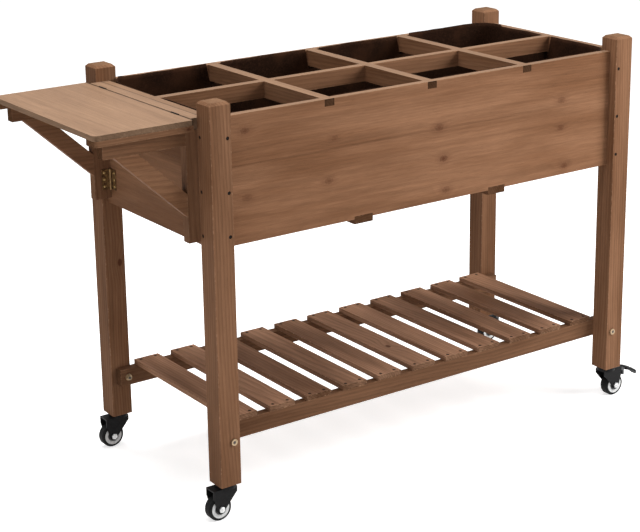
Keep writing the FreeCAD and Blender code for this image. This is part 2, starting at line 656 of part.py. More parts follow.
UPRIGHT_FOOT = "(%s - upright_length)" % BRACKET_TOP
BRACKET_HINGE_LEVELS = {
    "low": "%s + low_hinge_level + bracket_hinge_length / 2" % UPRIGHT_FOOT,
    "high": "%s - high_hinge_drop - bracket_hinge_length / 2" % BRACKET_TOP,
}


def bracket_hinges():
    """The fixed plates lie on the end panel and the moving ones on the brackets' inner faces."""
    clear = "bracket_barrel + knuckle_play"
    on_face = ("bracket_hinge_stand - bracket_hinge_plate", "bracket_hinge_stand")
    fixed = []
    for side_name, side in SIDES.items():
        moving = []
        for level_name, level in BRACKET_HINGE_LEVELS.items():
            where = bracket_axis(side) + (level,)
            tail = "%s_%s" % (side_name, level_name)
            half = hinge_half("bracket_hinge_fixed_" + tail, "bracket", ["middle"],
                              on_face, mirrored(-side, clear, "bracket_hinge_width"),
                              on_face, mirrored(-side, "0", clear))
            fixed.append(place(half, *where))
            pin = hinge_pin("bracket_pin_rod_" + tail, "bracket")
            fixed.append(place_copy("bracket_hinge_pin_" + tail, pin, where))
            half = hinge_half("bracket_hinge_moving_" + tail, "bracket", ["lower", "upper"],
                              mirrored(-1, clear, "bracket_hinge_width"), mirrored(side, *on_face),
                              mirrored(-1, "0", clear), mirrored(side, *on_face))
            moving.append(place(half, *where))
        node("bracket_hinge_moving_" + side_name, group("bracket_hinge_moving_" + side_name, moving))
    node("bracket_hinge_fixed", group("bracket_hinge_fixed", fixed))


# Table and its brackets.

def barrel_notches(name, sign):
    """Notches in the table's seam, from the pin into the ledge or the leaf, for the hinge barrels."""
    room = "(leaf_barrel + barrel_play)"
    axis = "-(%s + seam / 2)" % LEDGE_OUT
    x = (axis, "%s + %s" % (axis, room)) if sign > 0 else ("%s - %s" % (axis, room), axis)
    z = ("%s - leaf_axis_drop - %s" % (PANEL_TOP, room), "%s + %s" % (PANEL_TOP, PAST))
    return [board("%s_%s" % (name, side_name), x,
                  centred("%d * leaf_hinge_spacing / 2" % side, "leaf_hinge_length + 2 * barrel_play"), z)
            for side_name, side in SIDES.items()]


def ledge():
    blank = board("table_ledge_blank", ("-" + LEDGE_OUT, "-" + END_OUT), ("-" + POST_IN_Y, POST_IN_Y),
                  (TABLE_FOOT, PANEL_TOP))
    shifted("table_ledge", less("table_ledge", blank, barrel_notches("table_ledge_notch", 1)))


def cleat(side_name):
    """A strip under the leaf's edge, with the leaf's own rounded corner."""
    side = SIDES[side_name]
    corners = [("0", "0"), ("leaf_width", "0"), ("leaf_width", "cleat_width"), ("0", "cleat_width")]
    strip = outline("cleat_" + side_name, corners, "cleat_thickness")

    def outer_corner(edge, box):
        upright = edge.BoundBox.ZLength > box.ZLength / 2
        outside = (edge.BoundBox.Center.y - box.Center.y) * side > 0
        return upright and outside and edge.BoundBox.XMax < box.Center.x

    dressed(strip, "Fillet", "leaf_corner", outer_corner)
    low_y = mirrored(side, "leaf_length / 2 - cleat_width", "leaf_length / 2")[0]
    return place(strip, "-" + LEAF_TIP, low_y, TABLE_FOOT)


def leaf():
    corners = [("0", "0"), ("leaf_width", "0"), ("leaf_width", "leaf_length"), ("0", "leaf_length")]
    blank = outline("table_leaf_blank", corners, "leaf_thickness")
    dressed(blank, "Fillet", "leaf_corner",
            lambda edge, box: edge.BoundBox.ZLength > box.ZLength / 2 and edge.BoundBox.XMax < box.Center.x)
    place(blank, "-" + LEAF_TIP, "-leaf_length / 2", "%s - leaf_thickness" % PANEL_TOP)
    shifted("table_leaf", less("table_leaf", blank, barrel_notches("table_leaf_notch", -1)))
    shifted("leaf_cleats", group("leaf_cleats", [cleat(side_name) for side_name in SIDES]))


UPRIGHT_IN = "(%s + bracket_play)" % END_OUT
UPRIGHT_OUT = "(%s + upright_width)" % UPRIGHT_IN
ARM_TIP = "(%s + bracket_reach)" % END_OUT
ARM_FOOT = "(%s - arm_height)" % BRACKET_TOP
BRACE_RUN = "(%s - brace_inset - %s)" % (ARM_TIP, UPRIGHT_OUT)
BRACE_SLANT = "sqrt(pow(%s; 2) + pow(brace_drop; 2))" % BRACE_RUN


def bracket(side_name):
    """An upright by the panel, an arm out from its top and a brace between them."""
    side = SIDES[side_name]
    y = mirrored(side, BRACKET_IN, BRACKET_OUT)
    tip, joint, back = ("%s - %s" % (SHIFT, x) for x in (ARM_TIP, UPRIGHT_OUT, UPRIGHT_IN))
    name = "bracket_upright_" + side_name
    node(name, board(name, (joint, back), y, (UPRIGHT_FOOT, BRACKET_TOP)))
    name = "bracket_arm_" + side_name
    node(name, board(name, (tip, joint), y, (ARM_FOOT, BRACKET_TOP)))
    name = "bracket_brace_" + side_name
    run = BRACE_RUN
    rise = "brace_width * %s / %s" % (BRACE_SLANT, run)
    width = "brace_width * %s / brace_drop" % BRACE_SLANT
    corners = [(run, "0"), (run, rise), (width, "brace_drop"), ("0", "brace_drop")]
    brace = outline(name, corners, "bracket_thickness")
    upended = FreeCAD.Rotation(FreeCAD.Vector(1, 0, 0), 90)
    place(brace, "%s - (%s - brace_inset)" % (SHIFT, ARM_TIP), y[1], "%s - brace_drop" % ARM_FOOT, upended)
    node(name, brace)


# Casters, each drawn about its swivel axis with the wheel trailing towards +x.

HALF_FORK = "(hub_width / 2 + leg_play)"
FORK_OUT = "(%s + leg_thickness)" % HALF_FORK
AXLE_LEVEL = "(wheel_diameter / 2)"
PIVOT_LEVEL = "(crown_level - lever_pivot_drop)"


def caster_place(end, side):
    """Where a caster stands, and its turn: the wheels trail outwards."""
    turn = FreeCAD.Rotation(FreeCAD.Vector(0, 0, 1), 0 if end > 0 else 180)
    return "%s + %d * %s" % (SHIFT, end, CASTER_X), "%d * %s" % (side, CASTER_Y), "0", turn


def caster_top(name):
    """The round top with its stem above and its swivel pin below, as one turned piece."""
    at = {"x": "0", "y": "0"}
    rivet_top = "crown_level - swivel_gap"
    pieces = [
        rod(name + "_stem", "stem_diameter / 2", "z", (FOOT, "%s + stem_length" % FOOT), **at),
        rod(name + "_disc", "head_diameter / 2", "z", ("%s - top_thickness" % FOOT, FOOT), **at),
        rod(name + "_pin", "kingpin_diameter / 2", "z", (rivet_top, FOOT), **at),
        rod(name + "_rivet", "rivet_diameter / 2", "z", ("%s - rivet_height" % rivet_top, rivet_top), **at),
    ]
    return joined(name, pieces)


def fork_leg(name, sign):
    corners = [
        ("leg_heel + trail - leg_end_radius", "0"),
        ("leg_heel + trail + leg_end_radius", "0"),
        ("leg_heel + leg_toe", "crown_level - leg_toe_height - %s" % AXLE_LEVEL),
        ("leg_heel + leg_toe", "crown_level - %s" % AXLE_LEVEL),
        ("0", "crown_level - %s" % AXLE_LEVEL),
        ("0", "crown_level - leg_heel_height - %s" % AXLE_LEVEL),
    ]
    plate = outline(name + "_plate", corners, "leg_thickness")
    span = mirrored(sign, HALF_FORK, FORK_OUT)
    place(plate, "-leg_heel", span[1], AXLE_LEVEL, FreeCAD.Rotation(FreeCAD.Vector(1, 0, 0), 90))
    end = rod(name + "_end", "leg_end_radius", "y", span, x="trail", z=AXLE_LEVEL)
    return [plate, end]


def fork(end_name, side_name):
    """A crown on two legs, with the axle and, where it has a brake, the lever's pin."""
    end, side = ENDS[end_name], SIDES[side_name]
    name = "fork_%s_%s" % (side_name, end_name)
    pieces = [
        rod(name + "_crown", "head_diameter / 2", "z", ("crown_level", "crown_level + crown_thickness"),
            x="0", y="0"),
        board(name + "_bridge", ("-leg_heel", "leg_toe"), ("-" + FORK_OUT, FORK_OUT),
              ("crown_level", "crown_level + crown_thickness / 2")),
    ]
    for sign in (-1, 1):
        pieces += fork_leg("%s_leg_%s" % (name, "front" if sign < 0 else "rear"), sign)
    across = ("-%s - %s" % (FORK_OUT, PAST), "%s + %s" % (FORK_OUT, PAST))
    tools = [
        rod(name + "_swivel_bore", "kingpin_diameter / 2 + pin_play", "z",
            ("crown_level - %s" % PAST, "crown_level + crown_thickness + %s" % PAST), x="0", y="0"),
        rod(name + "_axle_bore", "axle_diameter / 2 + pin_play", "y", across, x="trail", z=AXLE_LEVEL),
    ]
    solids = []
    if end > 0:
        pivot = {"x": "lever_pivot", "z": PIVOT_LEVEL}
        tools.append(rod(name + "_pivot_bore", "lever_pin + pin_play", "y", across, **pivot))
        solids.append(rod(name + "_pivot", "lever_pin", "y", ("-" + FORK_OUT, FORK_OUT), **pivot))
    head = "%s + axle_head_height" % FORK_OUT
    shank = rod(name + "_axle_shank", "axle_diameter / 2", "y", ("-" + FORK_OUT, FORK_OUT),
                x="trail", z=AXLE_LEVEL)
    heads = [rod("%s_axle_head_%d" % (name, i), "axle_head_diameter / 2", "y", mirrored(sign, FORK_OUT, head),
                 x="trail", z=AXLE_LEVEL) for i, sign in enumerate((-1, 1))]
    solids.append(joined(name + "_axle", [shank] + heads))
    solids.append(less(name + "_frame", joined(name + "_blank", pieces), tools))
    node(name, place(group(name, solids), *caster_place(end, side)))


def wheel(end_name, side_name):
    end, side = ENDS[end_name], SIDES[side_name]
    tail = "%s_%s" % (side_name, end_name)
    at = {"x": "trail", "z": AXLE_LEVEL}

    def disc(name, diameter, width, more="0"):
        return rod(name, "%s / 2 + %s" % (diameter, more), "y", ("-%s / 2" % width, "%s / 2" % width), **at)

    hub = "hub_" + tail
    dishes = [rod("%s_dish_%d" % (hub, i), "web_diameter / 2", "y",
                  mirrored(sign, "rim_width / 2 - web_depth", "rim_width / 2 + %s" % PAST), **at)
              for i, sign in enumerate((-1, 1))]
    rim = less(hub + "_rim", disc(hub + "_disc", "hub_diameter", "rim_width"), dishes)
    boss = disc(hub + "_boss", "boss_diameter", "hub_width")
    bore = disc(hub + "_bore", "axle_diameter", "(2 * hub_width)", "pin_play")
    node(hub, place(less(hub, joined(hub + "_blank", [rim, boss]), [bore]), *caster_place(end, side)))
    tyre = "tyre_" + tail
    flat = "(tyre_width / 2 - tyre_bevel)"
    pieces = [rod(tyre + "_tread", "wheel_diameter / 2", "y", ("-" + flat, flat), **at)]
    for sign in (-1, 1):
        shoulder = doc.addObject("Part::Cone", "%s_shoulder_%s" % (tyre, "front" if sign < 0 else "rear"))
        bind(shoulder, Radius1="wheel_diameter / 2", Radius2="wheel_diameter / 2 - shoulder_drop",
             Height="tyre_bevel")
        turn = FreeCAD.Rotation(FreeCAD.Vector(1, 0, 0), -90 * sign)
        pieces.append(place(shoulder, "trail", "%d * %s" % (sign, flat), AXLE_LEVEL, turn))
    seat = disc(tyre + "_seat", "hub_diameter", "(2 * hub_width)", "pin_play")
    node(tyre, place(less(tyre, joined(tyre + "_blank", pieces), [seat]), *caster_place(end, side)))


def brake_lever(end_name, side_name):
    """A strap with a barrel on the pin, a sloping pedal at its tip and a shoe that points at the tyre."""
    name = "brake_lever_%s_%s" % (side_name, end_name)
    half = "lever_width / 2"
    width = ("-" + half, half)
    at = {"x": "lever_pivot", "z": PIVOT_LEVEL}
    strap_z = ("%s - lever_thickness" % PIVOT_LEVEL, PIVOT_LEVEL)
    slope = [
        ("0", "pedal_drop"),
        ("pedal_length", "0"),
        ("pedal_length", "pedal_height"),
        ("0", "pedal_drop + pedal_height"),
    ]
    pedal = outline(name + "_pedal", slope, "pedal_width")
    pedal_foot = "%s - pedal_drop - pedal_height" % PIVOT_LEVEL
    upended = FreeCAD.Rotation(FreeCAD.Vector(1, 0, 0), 90)
    place(pedal, "lever_reach - pedal_length", "pedal_width / 2", pedal_foot, upended)
    pieces = [
        rod(name + "_barrel", "lever_barrel", "y", width, **at),
        board(name + "_strap", ("lever_pivot", "lever_reach - pedal_length"), width, strap_z),
        pedal,
        board(name + "_shoe", ("lever_pivot + shoe_place", "lever_pivot + shoe_place + shoe_length"), width,
              ("%s - shoe_drop" % PIVOT_LEVEL, PIVOT_LEVEL)),
    ]
    bore = rod(name + "_bore", "lever_pin + pin_play", "y", ("-lever_width", "lever_width"), **at)
    lever = less(name, joined(name + "_blank", pieces), [bore])
    node(name, place(lever, *caster_place(ENDS[end_name], SIDES[side_name])))


# The whole object.

for end_name in ENDS:
    end_panel(end_name)
    for side_name in SIDES:
        post(end_name, side_name)
        fork(end_name, side_name)
        wheel(end_name, side_name)
for side_name in SIDES:
    long_panel(side_name)
    rail(side_name)
    bracket(side_name)
    brake_lever("right", side_name)
long_divider()
for place_name in CROSS_DIVIDERS:
    cross_divider(place_name)
bearers()
base_boards()
liner()
for index in range(SLATS):
    slat(index)
ledge()
leaf()
leaf_hinges()
bracket_hinges()

CORNERS = [(end_name, side_name) for end_name in ENDS for side_name in SIDES]
tops = [place(caster_top("caster_top_%s_%s" % corner), *caster_place(ENDS[corner[0]], SIDES[corner[1]]))
        for corner in CORNERS]
node("caster_tops", group("caster_tops", tops))
screws = []
bolts = []
for end_name, side_name in CORNERS:
    end, side = ENDS[end_name], SIDES[side_name]
    bolts += shelf_bolt("shelf_bolt_%s_%s" % (end_name, side_name), end, side)
    for along in "xy":
        screws += panel_screws("panel_screw_%s_%s_%s" % (end_name, side_name, along), end, side, along)
shifted("panel_screws", group("panel_screws", screws))
shifted("shelf_bolts", group("shelf_bolts", bolts))
small = []
for index in range(SLATS):
    for side_name, side in SIDES.items():
        small += slat_screws("slat_screw_%d_%s" % (index, side_name), index, side)
shifted("slat_screws", group("slat_screws", small))

doc.recompute()
for thing in doc.Objects:
    if {"Invalid", "Error"} & set(thing.State):
        raise RuntimeError("%s did not recompute: %s" % (thing.Label, thing.State))
for name, thing in nodes.items():
    if thing.Shape.isNull() or not thing.Shape.isValid() or not thing.Shape.Solids:
        raise RuntimeError("%s has no valid solid" % name)

os.makedirs("parts", exist_ok=True)
for name, thing in nodes.items():
    thing.Shape.exportStep(os.path.join("parts", name + ".step"))
print("%d nodes, %d solids" % (len(nodes), sum(len(thing.Shape.Solids) for thing in nodes.values())))
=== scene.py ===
"""Looks of a raised planter on casters: stained wood, liner, hinges, casters, floor, light and camera."""
import json
import math
import random

import bmesh
import bpy
from mathutils import Matrix, Vector, noise

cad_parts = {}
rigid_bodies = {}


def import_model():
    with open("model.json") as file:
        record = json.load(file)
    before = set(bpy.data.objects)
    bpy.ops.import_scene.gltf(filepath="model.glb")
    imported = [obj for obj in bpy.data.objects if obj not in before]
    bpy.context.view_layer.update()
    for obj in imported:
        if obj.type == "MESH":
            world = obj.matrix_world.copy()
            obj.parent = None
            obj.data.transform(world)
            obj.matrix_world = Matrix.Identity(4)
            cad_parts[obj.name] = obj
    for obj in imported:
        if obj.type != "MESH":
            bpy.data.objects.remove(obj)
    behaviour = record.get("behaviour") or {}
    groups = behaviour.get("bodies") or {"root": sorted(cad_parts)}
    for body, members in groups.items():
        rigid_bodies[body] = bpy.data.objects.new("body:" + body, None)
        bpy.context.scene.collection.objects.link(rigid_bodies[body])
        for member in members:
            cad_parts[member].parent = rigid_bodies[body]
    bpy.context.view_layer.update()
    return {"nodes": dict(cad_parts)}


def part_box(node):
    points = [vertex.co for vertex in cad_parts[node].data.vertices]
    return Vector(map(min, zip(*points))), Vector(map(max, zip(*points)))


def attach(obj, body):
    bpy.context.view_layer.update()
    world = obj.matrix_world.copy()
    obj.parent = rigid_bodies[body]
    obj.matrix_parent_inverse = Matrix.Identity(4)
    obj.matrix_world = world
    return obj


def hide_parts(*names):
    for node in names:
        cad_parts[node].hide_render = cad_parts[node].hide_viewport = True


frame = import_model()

MM = 0.001
SIDES = ("front", "rear")
ENDS = ("left", "right")
CORNERS = [(side, end) for side in SIDES for end in ENDS]
NODES = list(frame["nodes"])
# A distance in metres that no piece reaches, for a board without a seam.
FAR = 9.0


def corner_names(start):
    return ["%s_%s_%s" % (start, side, end) for side, end in CORNERS]


def middle(name):
    low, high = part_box(name)
    return (Vector(low) + Vector(high)) / 2


# Node trees.

class Tree:
    """A node tree with short calls for the nodes used here; each call gives back a socket."""

    def __init__(self, tree):
        self.tree = tree

    def plug(self, socket, value):
        if isinstance(value, bpy.types.NodeSocket):
            self.tree.links.new(value, socket)
        elif value is not None:
            socket.default_value = value

    def add(self, kind, **settings):
        made = self.tree.nodes.new(kind)
        for name, value in settings.items():
            setattr(made, name, value)
        return made

    def math(self, operation, *values, clamp=False):
        made = self.add("ShaderNodeMath", operation=operation, use_clamp=clamp)
        for socket, value in zip(made.inputs, values):
            self.plug(socket, value)
        return made.outputs[0]

    def vector(self, operation, *values):
        made = self.add("ShaderNodeVectorMath", operation=operation)
        for socket, value in zip(made.inputs, values):
            self.plug(socket, value)
        return made.outputs["Value" if operation in ("LENGTH", "DOT_PRODUCT", "DISTANCE") else "Vector"]

    def split(self, vector):
        made = self.add("ShaderNodeSeparateXYZ")
        self.plug(made.inputs[0], vector)
        return made.outputs[0], made.outputs[1], made.outputs[2]

    def join(self, x, y, z):
        made = self.add("ShaderNodeCombineXYZ")
        for socket, value in zip(made.inputs, (x, y, z)):
            self.plug(socket, value)
        return made.outputs[0]

    def noise(self, vector, detail=2.0, roughness=0.5, distortion=0.0, scale=1.0):
        made = self.add("ShaderNodeTexNoise")
        self.plug(made.inputs["Vector"], vector)
        self.plug(made.inputs["Scale"], scale)
        self.plug(made.inputs["Detail"], detail)
        self.plug(made.inputs["Roughness"], roughness)
        self.plug(made.inputs["Distortion"], distortion)
        return made.outputs["Fac"]

    def ramp(self, value, start, end, low=0.0, high=1.0):
        """low at start, high at end, with a soft step between them."""
        made = self.add("ShaderNodeMapRange", interpolation_type="SMOOTHSTEP")
        for name, given in (("Value", value), ("From Min", start), ("From Max", end),
                            ("To Min", low), ("To Max", high)):
            self.plug(made.inputs[name], given)
        return made.outputs["Result"]

    def mix(self, factor, first, second, kind="MIX"):
        made = self.add("ShaderNodeMix", data_type="RGBA", blend_type=kind)
        for name, given in (("Factor_Float", factor), ("A_Color", first), ("B_Color", second)):
            socket = next(s for s in made.inputs if s.identifier == name)
            self.plug(socket, given if isinstance(given, (bpy.types.NodeSocket, float)) else (*given, 1.0))
        return next(s for s in made.outputs if s.identifier == "Result_Color")

    def bump(self, height, strength, distance):
        made = self.add("ShaderNodeBump")
        self.plug(made.inputs["Height"], height)
        self.plug(made.inputs["Strength"], strength)
        self.plug(made.inputs["Distance"], distance)
        return made.outputs[0]


class Material(Tree):
    """A new material with its shader and the object's own coordinates, in metres."""

    def __init__(self, name):
        self.material = bpy.data.materials.new(name)
        self.material.use_nodes = True
        super().__init__(self.material.node_tree)
        self.shader = self.tree.nodes["Principled BSDF"]
        place = self.add("ShaderNodeTexCoord")
        self.point = place.outputs["Object"]
        self.normal = place.outputs["Normal"]

    def set(self, **values):
        """Sets or links the shader's sockets, written with _ for a space."""
        for name, value in values.items():
            self.plug(self.shader.inputs[name.replace("_", " ")], value)


# Wood: growth rings about a pith behind the face, fibres, knots, glued seams, end grain and worn edges,
# with a painted sheen on upward faces, painted highlights on edges and painted shade in gaps.

FRAME_STAIN = ((0.163, 0.074, 0.036), (0.256, 0.128, 0.069))
SHELF_STAIN = ((0.189, 0.089, 0.046), (0.430, 0.234, 0.142))
TABLE_STAIN = ((0.195, 0.116, 0.071), (0.250, 0.154, 0.096))
KNOT_BROWN = (0.066, 0.021, 0.010)
# A lighter tan for the edges: real wear, and a painted highlight where rounded edges catch the light.
WORN_AND_HIGHLIT_WOOD = (0.40, 0.235, 0.14)
# The pale tan that upward faces are mixed towards: a painted sheen from the light above.
TOP_SHEEN_TAN = (0.205, 0.128, 0.080)
WOOD_GLOSS = 0.03
RINGS_PER_METRE = 190.0
PITH_DEPTH = 0.075


def group_tree(name, inputs, outputs):
    tree = bpy.data.node_groups.new(name, "ShaderNodeTree")
    for direction, sockets in (("INPUT", inputs), ("OUTPUT", outputs)):
        for label, kind in sockets:
            tree.interface.new_socket(label, in_out=direction, socket_type="NodeSocket" + kind)
    t = Tree(tree)
    return t, t.add("NodeGroupInput").outputs, t.add("NodeGroupOutput").inputs


def ring_part(t, along, across, through, bend):
    """Late wood of the growth rings, 0 to 1, at a point given along, across and through a board."""
    slow = t.noise(t.join(t.math("MULTIPLY", along, 1.7), t.math("MULTIPLY", across, 5.0), through), 1.0)
    rough = t.noise(t.join(t.math("MULTIPLY", along, 9.0), t.math("MULTIPLY", across, 60.0),
                           t.math("MULTIPLY", through, 60.0)), 3.0)
    drift = t.math("MULTIPLY", t.math("SUBTRACT", slow, 0.5), 0.05)
    aside = t.math("ADD", across, drift)
    depth = t.math("ADD", t.math("ADD", through, PITH_DEPTH), t.math("MULTIPLY", along, 0.03))
    radius = t.vector("LENGTH", t.join(aside, depth, 0.0))
    rings = t.math("MULTIPLY", radius, RINGS_PER_METRE)
    rings = t.math("ADD", rings, t.math("MULTIPLY", rough, 0.7))
    rings = t.math("ADD", rings, t.math("MULTIPLY", bend, 1.3))
    turn = t.math("FRACT", rings)
    rise = t.ramp(turn, 0.25, 0.86)
    fall = t.ramp(turn, 0.90, 1.0, 1.0, 0.0)
    return t.math("MULTIPLY", rise, fall)


def scattered_knots(t, along, across, amount):
    """Knots in some cells of a grid over the board's face: how dark, and how far they bend the grain."""
    per_along, per_across = 4.0, 11.0
    cells = t.add("ShaderNodeTexVoronoi", voronoi_dimensions="2D", feature="F1")
    here = t.join(t.math("MULTIPLY", along, per_along), t.math("MULTIPLY", across, per_across), 0.0)
    t.plug(cells.inputs["Vector"], here)
    t.plug(cells.inputs["Scale"], 1.0)
    apart = t.vector("SUBTRACT", here, cells.outputs["Position"])
    apart = t.vector("MULTIPLY", apart, (0.62 / per_along, 1.0 / per_across, 0.0))
    distance = t.vector("LENGTH", apart)
    chance, size, _ = t.split(cells.outputs["Color"])
    there = t.math("LESS_THAN", chance, amount)
    radius = t.math("ADD", t.math("MULTIPLY", size, 0.0045), 0.003)
    dark = t.math("MULTIPLY", t.ramp(t.math("DIVIDE", distance, radius), 0.7, 1.25, 1.0, 0.0), there)
    bend = t.math("MULTIPLY", t.ramp(distance, 0.0, 0.032, 1.0, 0.0), there)
    return dark, bend


def edge_part(t, point, low, high):
    """1 on a board's edges, falling to 0 a few millimetres in, from the board's own box."""
    from_low = t.split(t.vector("SUBTRACT", point, low))
    from_high = t.split(t.vector("SUBTRACT", high, point))
    a, b, c = (t.math("MINIMUM", p, q) for p, q in zip(from_low, from_high))
    second = t.math("MAXIMUM", t.math("MINIMUM", a, b), t.math("MINIMUM", t.math("MAXIMUM", a, b), c))
    return t.ramp(second, 0.0004, 0.0026, 1.0, 0.0)


def wood_tree():
    t, given, out = group_tree(
        "stained wood",
        [(label, "Vector") for label in ("Point", "Normal", "Offset", "Low", "High")]
        + [(label, "Color") for label in ("Deep", "Pale")]
        + [(label, "Float") for label in ("Seam", "Tone", "Figure", "End", "Wear_and_highlight", "Joint_and_gap_shade", "Top_sheen",
                                          "Knots", "Dark", "Bend")],
        [("Color", "Color"), ("Roughness", "Float"), ("Gloss", "Float"), ("Height", "Float")])
    along, across, through = t.split(t.vector("ADD", given["Point"], given["Offset"]))
    _, width, _ = t.split(given["Point"])
    upper = t.math("GREATER_THAN", width, given["Seam"])
    along = t.math("ADD", along, t.math("MULTIPLY", upper, 0.83))
    across_here = t.math("ADD", across, t.math("MULTIPLY", upper, 0.055))
    loose_dark, loose_bend = scattered_knots(t, along, across_here, given["Knots"])
    dark = t.math("MAXIMUM", loose_dark, given["Dark"])
    bend = t.math("MAXIMUM", loose_bend, given["Bend"])
    late = ring_part(t, along, across_here, through, bend)

    def grain(per_along, per_side, detail):
        scaled = t.vector("MULTIPLY", t.join(along, across_here, through), (per_along, per_side, per_side))
        return t.noise(scaled, detail, 0.6)

    cloud = grain(1.8, 11.0, 4.0)
    streak = grain(2.6, 110.0, 3.0)
    fibre = grain(28.0, 900.0, 2.0)
    pore = t.ramp(grain(55.0, 1500.0, 1.0), 0.66, 0.78)
    seam = t.ramp(t.math("ABSOLUTE", t.math("SUBTRACT", width, given["Seam"])), 0.0014, 0.0032, 1.0, 0.0)
    edge = edge_part(t, given["Point"], given["Low"], given["High"])
    end = t.ramp(t.math("ABSOLUTE", t.split(given["Normal"])[0]), 0.6, 0.9)
    color = t.mix(t.ramp(cloud, 0.3, 0.68), given["Deep"], given["Pale"])
    # Upward faces are mixed towards a pale tan: a painted sheen.
    color = t.mix(given["Top_sheen"], color, TOP_SHEEN_TAN)
    shade = t.math("SUBTRACT", 1.0, t.math("MULTIPLY", late, given["Figure"]))
    shade = t.math("MULTIPLY", shade, t.ramp(streak, 0.25, 0.75, 0.88, 1.10))
    shade = t.math("MULTIPLY", shade, t.ramp(fibre, 0.2, 0.8, 0.87, 1.11))
    shade = t.math("MULTIPLY", shade, t.math("SUBTRACT", 1.0, t.math("MULTIPLY", pore, 0.3)))
    shade = t.math("MULTIPLY", shade, t.math("SUBTRACT", 1.0, t.math("MULTIPLY", end, given["End"])))
    # Darker along the seam: a glued joint between boards, and on the ledge and leaf a painted shade of the
    # gap between them.
    shade = t.math("MULTIPLY", shade, t.math("SUBTRACT", 1.0, t.math("MULTIPLY", seam, given["Joint_and_gap_shade"])))
    # A darker rim round end-grain faces, set by End: painted shade of the gaps round the dividers' ends in
    # their notches.
    end_rim_shade = t.math("MULTIPLY", t.math("MULTIPLY", end, edge), given["End"])
    shade = t.math("MULTIPLY", shade, t.math("SUBTRACT", 1.0, t.math("MULTIPLY", end_rim_shade, 0.8)))
    shade = t.math("MULTIPLY", shade, given["Tone"])
    color = t.mix(1.0, color, t.join(shade, shade, shade), "MULTIPLY")
    color = t.mix(t.math("MULTIPLY", dark, 0.8), color, KNOT_BROWN)
    # Lighter edges in a broken pattern: partly wear, partly a painted highlight on rounded edges.
    worn_and_highlit = t.math("MULTIPLY", edge, t.ramp(t.noise(given["Point"], 4.0, 0.7, scale=150.0), 0.46, 0.72))
    color = t.mix(t.math("MULTIPLY", worn_and_highlit, given["Wear_and_highlight"]), color, WORN_AND_HIGHLIT_WOOD)
    rough = t.math("ADD", t.ramp(cloud, 0.2, 0.8, 0.46, 0.58), t.math("MULTIPLY", fibre, 0.14))
    rough = t.math("ADD", rough, t.math("MULTIPLY", end, 0.15), clamp=True)
    height = t.math("ADD", t.math("MULTIPLY", fibre, 0.55), t.math("MULTIPLY", late, 0.3))
    height = t.math("ADD", height, t.math("MULTIPLY", streak, 0.35))
    groove = t.math("ADD", pore, t.math("MULTIPLY", seam, 3.0))
    height = t.math("SUBTRACT", height, t.math("MULTIPLY", groove, 0.5))
    t.plug(out["Color"], color)
    t.plug(out["Roughness"], rough)
    t.plug(out["Gloss"], t.ramp(end, 0.0, 1.0, WOOD_GLOSS, 0.0))
    t.plug(out["Height"], height)
    return t.tree


def knot_tree():
    """One knot at a named place on a board's face, across its depth."""
    t, given, out = group_tree(
        "knot", [("Point", "Vector"), ("Place", "Vector"), ("Radius", "Float")],
        [("Dark", "Float"), ("Bend", "Float")])
    apart = t.vector("MULTIPLY", t.vector("SUBTRACT", given["Point"], given["Place"]), (0.62, 1.0, 0.0))
    ragged = t.math("MULTIPLY", t.noise(given["Point"], 2.0, scale=260.0), 0.006)
    distance = t.math("ADD", t.math("SUBTRACT", t.vector("LENGTH", apart), 0.003), ragged)
    ratio = t.math("DIVIDE", distance, given["Radius"])
    eye = t.ramp(ratio, 0.25, 0.5, 1.0, 0.0)
    ring = t.ramp(ratio, 0.85, 1.15, 1.0, 0.0)
    halo = t.ramp(ratio, 1.0, 2.8, 1.0, 0.0)
    dark = t.math("ADD", t.math("MULTIPLY", ring, 0.45), t.math("MULTIPLY", halo, 0.3))
    t.plug(out["Dark"], t.math("ADD", dark, t.math("MULTIPLY", eye, 0.35), clamp=True))
    t.plug(out["Bend"], t.ramp(ratio, 0.0, 4.5, 1.0, 0.0))
    return t.tree


WOOD = wood_tree()
KNOT = knot_tree()
# Which axis runs along the fibres, which across the face and which through the board.
GRAIN_ORDER = {"y": (1, 0, 2), "z": (2, 0, 1), "x_upright": (0, 2, 1), "y_upright": (1, 2, 0)}


def reordered(values, order):
    return tuple(values[i] for i in order)


